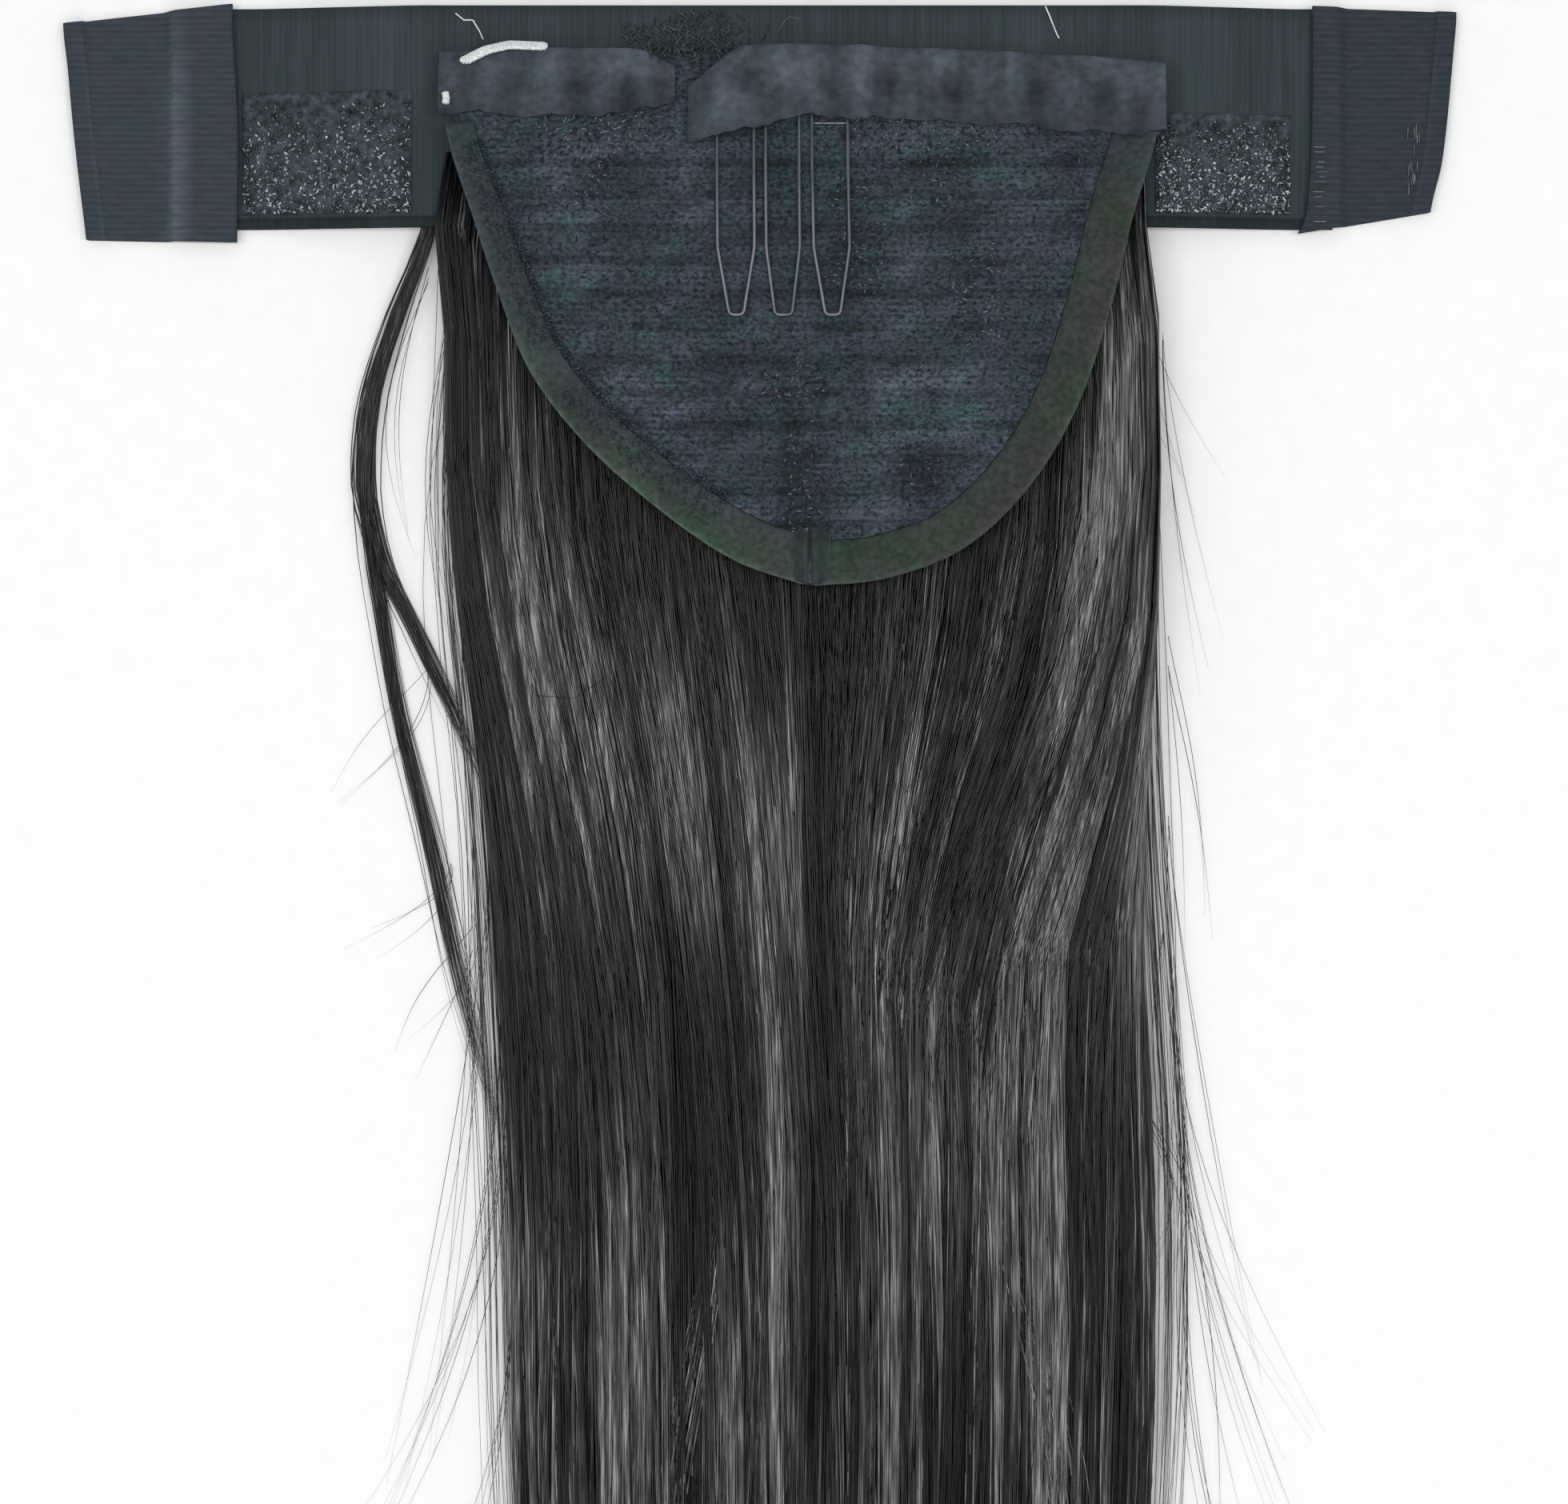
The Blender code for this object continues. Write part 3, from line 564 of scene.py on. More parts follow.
def object_noise(material, scale, stretch=(1.0, 1.0, 1.0), detail=2.0):
    """Noise in the piece's own place, finer or coarser along each direction."""
    where = material.node_tree.nodes.new("ShaderNodeTexCoord")
    mapping = material.node_tree.nodes.new("ShaderNodeMapping")
    mapping.inputs["Scale"].default_value = stretch
    link(material, where.outputs["Object"], mapping.inputs["Vector"])
    made = material.node_tree.nodes.new("ShaderNodeTexNoise")
    made.inputs["Scale"].default_value = scale
    made.inputs["Detail"].default_value = detail
    link(material, mapping.outputs["Vector"], made.inputs["Vector"])
    return made.outputs["Fac"]


def mix_factor(material, a, b, share):
    """A blend of two grey factors."""
    made = material.node_tree.nodes.new("ShaderNodeMix")
    made.data_type = "FLOAT"
    made.inputs[0].default_value = share
    link(material, a, made.inputs[2])
    link(material, b, made.inputs[3])
    return made.outputs[0]


def bump(material, height, distance, strength=1.0):
    """Fine relief on the shader's normal."""
    made = material.node_tree.nodes.new("ShaderNodeBump")
    made.inputs["Strength"].default_value = strength
    made.inputs["Distance"].default_value = distance
    link(material, height, made.inputs["Height"])
    link(material, made.outputs["Normal"], shader_of(material).inputs["Normal"])


def finish(material, factor, stops, grain, depth, stretch=(1.0, 1.0, 1.0)):
    """A ramp of colours along a factor, and a fine relief."""
    link(material, ramp(material, factor, stops), shader_of(material).inputs["Base Color"])
    bump(material, object_noise(material, grain, stretch), depth)


def toned_thread(name, colour, roughness, specular, stops, grain, depth):
    """Thread that takes the tone painted on each of its strands."""
    material = principled(name, colour, roughness, specular=specular)
    finish(material, painted(material), stops, grain, depth)
    return material


def hair_material(settings):
    """Black fibre: each strand has its own tone, broken into glints along it."""
    material = principled("hair_fibre", (0.02, 0.02, 0.02), settings.roughness, specular=settings.gloss)
    deep, light = np.array(settings.deep_colour), np.array(settings.light_colour)
    stops = [(at, deep + (light - deep) * share) for at, share in
             ((0.0, 0.0), (0.35, 0.05), (0.65, 0.24), (1.0, 1.0))]
    colour = ramp(material, painted(material), stops)
    glints = ramp(material, object_noise(material, 1700.0, (1.0, 0.05, 1.0), 3.0), GLINT_SHADES)
    link(material, multiply(material, colour, glints), shader_of(material).inputs["Base Color"])
    bump(material, object_noise(material, 900.0, (1.0, 0.08, 1.0)), 0.00006, 0.5)
    return material


Look = namedtuple("Look", "grain stretch contrast depth pitch across row_share patches tinted",
                  defaults=(False,))
PATCH_HUES = [(0.34, (-0.16, 0.08, -0.04)), (0.50, (0.0, 0.0, 0.0)), (0.66, (0.07, -0.03, 0.05))]
TINTS = [(0.0, (1.0, 1.0, 1.14)), (0.45, (0.92, 1.04, 0.88)), (0.6, (1.0, 1.06, 0.93)),
         (1.0, (1.08, 0.93, 0.86))]
GLINT_SHADES = [(0.36, (0.35, 0.35, 0.35)), (0.52, (1.0, 1.0, 1.0)), (0.68, (2.4, 2.4, 2.4))]
TONE_SHADES = [(0.0, (0.15, 0.15, 0.15)), (0.5, (1.0, 1.0, 1.0)), (1.0, (2.5, 2.5, 2.5))]


def rows_factor(material, pitch, across, distortion=1.0):
    """Even rows across X or Y, a pitch apart in millimetres."""
    where = material.node_tree.nodes.new("ShaderNodeTexCoord")
    made = material.node_tree.nodes.new("ShaderNodeTexWave")
    made.bands_direction = across
    made.inputs["Scale"].default_value = math.pi / 10 / (pitch * MM)
    made.inputs["Distortion"].default_value = distortion
    made.inputs["Detail Scale"].default_value = 2.0
    link(material, where.outputs["Object"], made.inputs["Vector"])
    return made.outputs["Fac"]


def multiply(material, first, second):
    """Two colours multiplied."""
    made = material.node_tree.nodes.new("ShaderNodeMix")
    made.data_type = "RGBA"
    made.blend_type = "MULTIPLY"
    made.inputs[0].default_value = 1.0
    link(material, first, made.inputs[6])
    link(material, second, made.inputs[7])
    return made.outputs[2]


def cloth_material(name, colour, look):
    """A matt cloth: mottled grain, knitted or woven rows, patches of hue and the painted tone."""
    material = principled(name, colour, 0.85, specular=0.2)
    height = object_noise(material, look.grain, look.stretch, 4.0)
    if look.pitch:
        woven = rows_factor(material, look.pitch, look.across)
        height = mix_factor(material, height, woven, look.row_share)
    low = [value * (1 - look.contrast) for value in colour]
    high = [value * (1 + look.contrast) for value in colour]
    shades = ramp(material, height, [(0.25, low), (0.75, high)])
    if look.patches:
        stops = [(at, [1 + look.patches * value for value in hue]) for at, hue in PATCH_HUES]
        shades = multiply(material, shades, ramp(material, object_noise(material, 130.0), stops))
    if look.tinted:
        shades = multiply(material, shades, ramp(material, painted(material, "tint"), TINTS))
    tones = ramp(material, painted(material), TONE_SHADES)
    link(material, multiply(material, shades, tones), shader_of(material).inputs["Base Color"])
    bump(material, height, look.depth)
    return material


# Hair

def groove_curve(share):
    """Relief of the locks across the hair: crests and the grooves between them."""
    total = sum(lock.width for lock in LOCKS)
    start = 0.0
    keys, heights = [0.0], [-LOCKS[0].groove]
    for lock in LOCKS:
        for inside, swell in ((0.33, 1.0), (0.67, 0.8)):
            keys.append((start + lock.width * inside) / total)
            heights.append(lock.crest * swell)
        start += lock.width
        keys.append(start / total)
        heights.append(-lock.groove)
    return np.interp(share, keys, heights)


def tip_down(share, shorter):
    """Where the locks end, in pointed tips."""
    total = sum(lock.width for lock in LOCKS)
    keys, downs = [0.0], [LENGTH - 36.0]
    start = 0.0
    for lock in LOCKS:
        keys.append((start + lock.width * 0.5) / total)
        downs.append(LENGTH - lock.tip_short - 1.5)
        start += lock.width
        keys.append(start / total)
        downs.append(LENGTH - lock.tip_short - 9.0)
    return np.interp(share, keys, downs) - shorter


def hair_x(share, down, settings):
    """The locks sweep out from a parting under the cap and close up further down."""
    left = read_table(HAIR_ROWS, down, "left") + 0.6 + 3.8 * (1 - smooth_step((down - 26.0) / 16.0))
    right = read_table(HAIR_ROWS, down, "right") - 2.3 * smooth_step((down - 40.0) / 30.0)
    right = right - 4.0 * smooth_step((down - 110.0) / 60.0)
    inner = np.clip(share, 0.0, 1.0)
    swept = 1 - smooth_step((down - 75.0) / 115.0)
    power = 1 + swept * np.where(inner < 0.5, settings.sweep_left, settings.sweep_right)
    bowed = 1 - (1 - np.abs(2 * inner - 1)) ** power
    moved = 0.5 + 0.5 * np.sign(inner - 0.5) * bowed + (share - inner)
    return left + (right - left) * moved


def hair_heights(share, down):
    """Seam between the layers, upper face and underside of the hair."""
    middle = read_table(HAIR_ROWS, down, "middle")
    crown = read_table(HAIR_ROWS, down, "crown")
    drop = read_table(HAIR_ROWS, down, "side_drop")
    edge = np.clip(np.abs(2 * share - 1), 0.0, 1.0) ** 6
    seam = middle - drop * edge
    body = np.clip((crown - middle) / 6.4, 0.0, 1.0)
    top = seam + (crown - middle) * (1 - 0.7 * edge)
    top = top + (groove_curve(share) - 0.6) * body * smooth_step((down - 26) / 6)
    under = 1.5 * edge * np.clip(middle / 6.0, 0.0, 1.0)
    return seam, top, under


# Settings

class HAIRPIECE_PG_hair(bpy.types.PropertyGroup):
    """Sizes, numbers and colours of the hair."""

    top_wisps: bpy.props.IntProperty(
        name="Top wisps", description="Wisps of hair on the upper side", default=450, min=20)
    under_wisps: bpy.props.IntProperty(
        name="Under wisps", description="Wisps of hair on the lower side", default=66, min=10)
    wisp_strands: bpy.props.IntProperty(
        name="Strands in a wisp", description="Strands gathered in one wisp", default=13, min=3)
    strand_radius: bpy.props.FloatProperty(
        name="Strand radius", description="Radius of an inner strand",
        default=0.00016, unit="LENGTH")
    fringe_radius: bpy.props.FloatProperty(
        name="Fringe radius", description="Radius of the fine hair at the sides",
        default=0.00007, unit="LENGTH")
    sweep_left: bpy.props.FloatProperty(
        name="Left sweep", description="How far the left locks stand off the parting", default=0.5)
    sweep_right: bpy.props.FloatProperty(
        name="Right sweep", description="How far the right locks stand off the parting", default=2.2)
    roughness: bpy.props.FloatProperty(
        name="Roughness", description="Roughness of the fibre", default=0.33, subtype="FACTOR")
    gloss: bpy.props.FloatProperty(
        name="Gloss", description="Strength of the fibre's sheen", default=0.25, subtype="FACTOR")
    deep_colour: bpy.props.FloatVectorProperty(
        name="Deep colour", description="Colour of the darkest strands",
        default=(0.002, 0.002, 0.0022), subtype="COLOR")
    light_colour: bpy.props.FloatVectorProperty(
        name="Light colour", description="Colour of the palest strands",
        default=(0.17, 0.168, 0.17), subtype="COLOR")


class HAIRPIECE_PG_cloth(bpy.types.PropertyGroup):
    """Colours and detail of the net, binding, tapes, strap and ribbon ends."""

    net_colour: bpy.props.FloatVectorProperty(
        name="Net", description="Colour of the net",
        default=(0.034, 0.045, 0.058), subtype="COLOR")
    binding_colour: bpy.props.FloatVectorProperty(
        name="Binding", description="Colour of the edge binding",
        default=(0.038, 0.046, 0.045), subtype="COLOR")
    tape_colour: bpy.props.FloatVectorProperty(
        name="Tapes", description="Colour of the puckered tapes",
        default=(0.050, 0.060, 0.076), subtype="COLOR")
    strap_colour: bpy.props.FloatVectorProperty(
        name="Strap", description="Colour of the elastic strap",
        default=(0.032, 0.044, 0.050), subtype="COLOR")
    ribbon_colour: bpy.props.FloatVectorProperty(
        name="Ribbon ends", description="Colour of the ribbon ends",
        default=(0.040, 0.048, 0.060), subtype="COLOR")
    net_pitch: bpy.props.FloatProperty(
        name="Net pitch", description="Distance between the net's fine rows",
        default=0.00118, unit="LENGTH")
    loops_per_pad: bpy.props.IntProperty(
        name="Pile loops", description="Loops of pile on each pad", default=1500, min=50)


class HAIRPIECE_PG_stage(bpy.types.PropertyGroup):
    """Camera, floor and light."""

    view_x: bpy.props.FloatProperty(
        name="View X", description="Middle of the view across", default=0.0044, unit="LENGTH")
    view_y: bpy.props.FloatProperty(
        name="View Y", description="Middle of the view along", default=0.0674, unit="LENGTH")
    view_width: bpy.props.FloatProperty(
        name="View width", description="Width that the view covers", default=0.2852, unit="LENGTH")
    lens: bpy.props.FloatProperty(
        name="Lens", description="Focal length in millimetres", default=100.0)
    key_power: bpy.props.FloatProperty(
        name="Key light", description="Power of the long light overhead", default=8.6)
    fill_power: bpy.props.FloatProperty(
        name="Fill light", description="Power of the broad fill light", default=1.5)
    sky: bpy.props.FloatProperty(
        name="Sky", description="Strength of the even light all round", default=0.5)


SETTING_GROUPS = (HAIRPIECE_PG_hair, HAIRPIECE_PG_cloth, HAIRPIECE_PG_stage)


# Operators

class HAIRPIECE_OT_stage(bpy.types.Operator):
    """Makes the pale floor, the soft light and the camera straight above."""

    bl_idname = "hairpiece.stage"
    bl_label = "Stage"

    def execute(self, context):
        settings = context.scene.hairpiece_stage
        context.scene.view_settings.view_transform = "Standard"
        self.floor()
        self.lights(context, settings)
        self.camera(context, settings)
        return {"FINISHED"}

    def floor(self):
        """The pale floor, a sheet of paper."""
        half = 3.0
        mesh = bpy.data.meshes.new("floor")
        mesh.from_pydata([(-half, -half, 0), (half, -half, 0), (half, half, 0), (-half, half, 0)],
                         [], [(0, 1, 2, 3)])
        material = principled("floor_paper", (0.93, 0.93, 0.93), 0.9, specular=0.2)
        grain = object_noise(material, 220.0)
        colour = ramp(material, grain, [(0.0, (0.90, 0.90, 0.90)), (1.0, (0.95, 0.95, 0.95))])
        link(material, colour, shader_of(material).inputs["Base Color"])
        mesh.materials.append(material)
        floor = bpy.data.objects.new("floor", mesh)
        bpy.context.scene.collection.objects.link(floor)

    def lights(self, context, settings):
        """Even light all round, a long light overhead and a broad one."""
        world = bpy.data.worlds.new("even_light")
        context.scene.world = world
        world.use_nodes = True
        background = world.node_tree.nodes["Background"]
        background.inputs["Color"].default_value = (1.0, 1.0, 1.0, 1.0)
        background.inputs["Strength"].default_value = settings.sky
        rows = (
            ("key_light", (0.0, 0.07, 1.15), (1.5, 0.35), settings.key_power),
            ("fill_light", (0.0, -0.70, 1.0), (1.2, 0.7), settings.fill_power),
        )
        for name, where, size, power in rows:
            data = bpy.data.lights.new(name, "AREA")
            data.shape = "RECTANGLE"
            data.size, data.size_y = size
            data.energy = power
            light = bpy.data.objects.new(name, data)
            light.location = where
            aim = Vector((0.0, 0.05, 0.0)) - light.location
            light.rotation_euler = aim.to_track_quat("-Z", "Y").to_euler()
            context.scene.collection.objects.link(light)

    def camera(self, context, settings):
        """The camera, straight above the hairpiece."""
        data = bpy.data.cameras.new("camera")
        data.type = "PERSP"
        data.sensor_width = 36.0
        data.lens = settings.lens
        camera = bpy.data.objects.new("camera", data)
        height = settings.view_width * settings.lens / data.sensor_width
        camera.location = (settings.view_x, settings.view_y, height)
        camera.rotation_euler = (0.0, 0.0, 0.0)
        context.scene.collection.objects.link(camera)
        context.scene.camera = camera


class HAIRPIECE_OT_hair(bpy.types.Operator):
    """Makes the straight hair: a dense core, wisps of strands and fine fringes."""

    bl_idname = "hairpiece.hair"
    bl_label = "Hair"

    STATIONS = 13

    def execute(self, context):
        settings = context.scene.hairpiece_hair
        self.settings = settings
        self.material = hair_material(settings)
        self.core()
        self.top_wisps()
        self.under_wisps()
        self.side_wisps()
        self.fringes()
        self.cross_locks()
        self.loose_locks()
        return {"FINISHED"}

    def core(self):
        """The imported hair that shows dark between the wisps."""
        rows, columns = 60, 124
        share = np.linspace(0.0, 1.0, columns)[None, :]
        part = np.linspace(0.0, 1.0, rows)[:, None]
        for name, node_name, root, shorter, upper_layer in (
                ("hair_core_inner", "hair_inner_layer", 28.0, 46.0, True),
                ("hair_core_outer", "hair_outer_layer", 3.0, 38.0, False)):
            end = tip_down(share, shorter)
            down = root + (end - root) * part
            seam, top, under = hair_heights(share, down)
            thin = 1 - smooth_step((part - 0.8) / 0.2)
            fine = 0.12 * np.sin(share * 2 * math.pi * CORE_RIBS + 2 * np.sin(down / 40)) * thin
            if upper_layer:
                high, low = top - 1.3 * thin - 0.25 + fine, seam + 0.05
            else:
                past = smooth_step((down - STRAP_LOW) / 5.0)
                high, low = seam - GAP - 1.9 * (1 - past), under + 0.55 * thin + 0.15 + fine
            high = np.maximum(high, low + 0.25)
            squeeze = 0.5 + (share - 0.5) * 0.985
            x = hair_x(squeeze, down, self.settings)
            tone = np.full(x.shape, 0.04) + 0.03 * np.sin(share * 2 * math.pi * CORE_RIBS)
            core = slab(name, place(x, down, high), place(x, down, low), self.material, tone)
            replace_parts(core, node_name)

    def wisp_lines(self, rng, count, share, root, tip, height, spread, lift):
        """Centre lines of strands gathered in wisps: strands, stations, 3."""
        strands_each = self.settings.wisp_strands
        part = (np.linspace(0.0, 1.0, self.STATIONS) ** 1.3)[None, None, :]
        root = root[:, None, None]
        tip = tip[:, None, None] - rng.gamma(1.6, 7.0, (count, strands_each, 1))
        down = root + (tip - root) * part
        # Each wisp wanders and drifts as one
        wander = rng.uniform(0.002, 0.011, (count, 1, 1))
        turns = rng.uniform(0.5, 1.6, (count, 1, 1))
        phase = rng.uniform(0, 2 * math.pi, (count, 1, 1))
        drift = rng.standard_t(3, (count, 1, 1)) * 0.009 * (down - 120) / 200
        across = share[:, None, None] + wander * np.sin(2 * math.pi * turns * down / 200 + phase)
        across = across + drift
        # Each strand keeps its own place in the wisp, nearer its middle further down
        own = rng.normal(0, 1.0, (count, strands_each, 1)) * spread[:, None, None]
        own_wander = rng.normal(0, 0.0022, (count, strands_each, 1))
        own_phase = rng.uniform(0, 2 * math.pi, (count, strands_each, 1))
        gather = 1.0 - 0.45 * smooth_step((down - 120) / 200)
        across = across + own * gather + own_wander * np.sin(2 * math.pi * down / 170 + own_phase)
        across = 1 - np.abs(1 - np.abs(across))
        seam, top, under = hair_heights(across, down)
        vertical = rng.normal(0, 0.16, (count, strands_each, 1)) * (1 - 0.5 * part)
        swell = lift[:, None, None] * (1 - smooth_step((part - 0.85) / 0.15))
        z = height(across, down, seam, top, under) + swell + vertical
        x = hair_x(across, down, self.settings)
        lines = place(x, down, np.maximum(z, 0.15))
        return lines.reshape(count * strands_each, self.STATIONS, 3), down.reshape(-1, self.STATIONS)

    def radii(self, rng, count, base, taper_from=0.75):
        """Each strand's own thickness, tapering to its tip."""
        part = np.linspace(0.0, 1.0, self.STATIONS)[None, :]
        own = base * rng.uniform(0.75, 1.25, (count, 1))
        return own * (1 - 0.85 * smooth_step((part - taper_from) / (1 - taper_from)))

    def sheen(self, lines, down, own, share):
        """Tone of the strands: own shade, that of their lock, and the painted sheen and painted shade over
        the locks.
        """
        x = lines[..., 0] / MM
        tone = own + ripple(share * 105.0, down / 38.0, 12, 2) * 0.24
        tone = tone + ripple(x / 3.0, down / 60.0, 11, 3) * 0.20
        for row in PAINTED_SHEEN_AND_SHADE:
            run_x, run_down = row.end_x - row.x, row.end_down - row.down
            length = math.hypot(run_x, run_down)
            along = ((x - row.x) * run_x + (down - row.down) * run_down) / length
            away = ((x - row.x) * run_down - (down - row.down) * run_x) / length
            ends = smooth_step(along / 18 + 0.5) * smooth_step((length - along) / 18 + 0.5)
            tone = tone + row.gain * np.exp(-(away / row.width) ** 2) * ends
        # Paler low down and at the right, darker at the left border, and painted shade below the cap's rim
        below = np.maximum(down - rim_down(x), 0.0)
        middle = smooth_step((x + 44.0) / 10.0) * smooth_step((46.0 - x) / 14.0)
        tone = tone + 0.18 * smooth_step((down - 195.0) / 30.0)
        tone = tone + 0.07 * smooth_step((x - 28.0) / 16.0) * smooth_step((down - 70.0) / 20.0)
        tone = tone - 0.22 * np.exp(-((x - read_table(HAIR_ROWS, down, "left")) / 5.0) ** 2)
        tone = tone - (0.12 + 0.34 * middle) * np.exp(-(below / 15.0) ** 2)
        return np.clip(tone, 0.0, 1.0)

    def wisp_piece(self, name, rng, lines, down, own, shares, thickness):
        """One piece of strands, in their own tones and the painted sheen and painted shade over them."""
        tones = self.sheen(lines, down, own[:, None], shares)
        radii = self.radii(rng, len(lines), self.settings.strand_radius * thickness)
        strands(name, lines, radii, tones, self.material)

    def top_wisps(self):
        """The wisps that the eye sees from above."""
        settings = self.settings
        rng = np.random.default_rng(SEED_TOP)
        batches = 3
        for batch in range(batches):
            count = settings.top_wisps // batches
            share = (np.arange(count) + rng.uniform(0, 1, count)) / count
            rim = rim_down(hair_x(share, 90.0, settings))
            root = np.minimum(rng.uniform(29, 60, count), rim - 12)
            root = np.maximum(root, 27.5)
            tip = tip_down(share, 0.0) + rng.uniform(-6.0, 6.0, count)
            spread = rng.uniform(0.0025, 0.0065, count)
            lift = rng.uniform(-1.1, 0.55, count) + 0.2 * (batch - 1)
            lines, down = self.wisp_lines(
                rng, count, share, root, tip,
                lambda across, down, seam, top, under: top, spread, lift)
            total = count * settings.wisp_strands
            # Higher wisps are painted paler and deeper ones darker: painted light and shade by depth, over
            # each wisp's own random tone
            wisp_tone = 1.05 * rng.beta(1.3, 2.1, count) + 0.20 * lift
            own = np.repeat(wisp_tone, settings.wisp_strands) + rng.normal(0, 0.12, total)
            shares = np.repeat(share, settings.wisp_strands)[:, None]
            self.wisp_piece(f"hair_top_strands_{batch + 1}", rng, lines, down, own, shares, 1.0)

    def under_wisps(self):
        """The wisps that lie on the floor, and show from behind."""
        rng = np.random.default_rng(SEED_UNDER)
        count = self.settings.under_wisps
        share = (np.arange(count) + rng.uniform(0, 1, count)) / count
        root = np.full(count, 2.4)
        tip = tip_down(share, 0.0)
        spread = rng.uniform(0.004, 0.008, count)
        lift = rng.uniform(0.0, 0.5, count)
        lines, down = self.wisp_lines(
            rng, count, share, root, tip,
            lambda across, down, seam, top, under: under + 0.35, spread, lift)
        own = np.repeat(rng.beta(2.0, 3.5, count), self.settings.wisp_strands)
        self.wisp_piece("hair_under_strands", rng, lines, down, own, 0.5, 1.15)

    def side_wisps(self):
        """The wisps down both sides of the hair, from the floor to the crown."""
        rng = np.random.default_rng(SEED_SIDES)
        count = SIDE_WISPS
        side = np.arange(count) % 2
        inward = rng.uniform(0.0, 0.05, count)
        share = np.where(side == 0, inward, 1 - inward)
        level = rng.uniform(0.05, 0.95, count)
        root = rng.uniform(42, 50, count)
        tip = tip_down(share, 2.0)
        spread = rng.uniform(0.002, 0.005, count)
        levels = level[:, None, None]
        lines, down = self.wisp_lines(
            rng, count, share, root, tip,
            lambda across, down, seam, top, under: under + (top - under) * levels,
            spread, np.zeros(count))
        own = np.repeat(0.8 * rng.beta(2.0, 4.0, count) + 0.25 * side, self.settings.wisp_strands)
        self.wisp_piece("hair_side_strands", rng, lines, down, own, 0.5, 0.9)

    def fringes(self):
        """Fine single hairs that stand off both sides, and a few that stray."""
        rng = np.random.default_rng(SEED_FRINGE)
        count = FRINGE_HAIRS
        side = np.where(np.arange(count) % 2 == 0, -1.0, 1.0)
        part = np.linspace(0.0, 1.0, self.STATIONS)[None, :]
        root = rng.uniform(40, 120, count)[:, None]
        tip = rng.uniform(210, 396, count)[:, None]
        down = root + (tip - root) * part
        reach = np.where(side < 0, rng.exponential(2.4, count) - 0.5, rng.uniform(-5.5, 0.5, count))[:, None]
        shape = np.sin(math.pi * np.clip(part * rng.uniform(0.8, 1.1, (count, 1)), 0, 1)) ** 0.7
        waver = 0.25 * np.sin(down / rng.uniform(18, 50, (count, 1)) + rng.uniform(0, 6, (count, 1)))
        left = read_table(HAIR_ROWS, down, "left")
        right = read_table(HAIR_ROWS, down, "right")
        near = np.where(side[:, None] < 0, -1.5, -4.0 - 2.0 * smooth_step((down - 110.0) / 60.0))
        out = near + (reach - near) * shape + waver
        x = np.where(side[:, None] < 0, left - out, right + out)
        height = rng.uniform(0.4, 6.0, count)[:, None] * (1 - 0.8 * part) + 0.25
        radii = self.radii(rng, count, self.settings.fringe_radius, 0.5)
        tones = rng.uniform(0.1, 0.8, count)
        strands("hair_side_fringe", place(x, down, height), radii, tones, self.material)
        self.strays(rng)

    def strays(self, rng):
        """Single hairs that spread out near the lower sides and cross the rest."""
        rows = table(
            "down x end_down end_x bow",
            (170, 73, 262, 104, -6), (176, 75, 272, 96, -5), (150, 74, 250, 90, -3),
            (190, 76, 284, 99, -4), (205, 77, 292, 88, -2), (160, -49, 268, -66, 3),
            (185, -47, 276, -70, 4), (150, -52, 262, -61, 3), (200, -46, 285, -74, 5),
            (120, -60, 146, -79, 1), (158, -56, 172, -72, 1), (168, -52, 190, -66, 2),
            (47, 68, 92, 80, -2), (60, 73, 118, 81, -2), (120, 74, 170, 82, 2),
            (48, -60, 100, -63, -4), (210, -46, 300, -62, 3), (225, 77, 310, 92, -3),
            (198, 68, 237, 70, 5), (202, 69, 232, 70, 4), (60, -57, 120, -54, -3),
        )
        part = np.linspace(0.0, 1.0, self.STATIONS)
        lines = []
        for row in rows:
            for _ in range(3):
                shift = rng.normal(0, 2.2, 4)
                down = row.down + shift[0] + (row.end_down + shift[1] - row.down) * part
                x = row.x + (row.end_x + shift[2] - row.x) * part ** 1.3
                x = x + (row.bow + shift[3]) * np.sin(math.pi * part)
                z = 3.0 * (1 - part) + 0.3
                lines.append(place(x, down, z))
        for points in (((-40.0, 125.5), (-33.0, 126.0), (-27.0, 122.0), (-24.5, 119.0)),
                       ((-39.0, 120.0), (-36.0, 126.0), (-34.5, 129.0), (-34.0, 131.0)),
                       ((26.0, 143.0), (29.0, 138.5), (31.5, 134.0), (32.5, 131.0)),
                       ((25.0, 141.0), (26.5, 143.0), (29.5, 139.0), (33.0, 136.0))):
            knots = np.array(points)
            x = np.interp(part, np.linspace(0, 1, 4), knots[:, 0])
            down = np.interp(part, np.linspace(0, 1, 4), knots[:, 1])
            lines.append(place(x, down, read_table(HAIR_ROWS, down, "crown") + 1.0))
        lines = np.array(lines)
        strands("hair_strays", lines, self.radii(rng, len(lines), self.settings.fringe_radius * 0.9, 0.4),
                np.full(len(lines), 0.3), self.material)

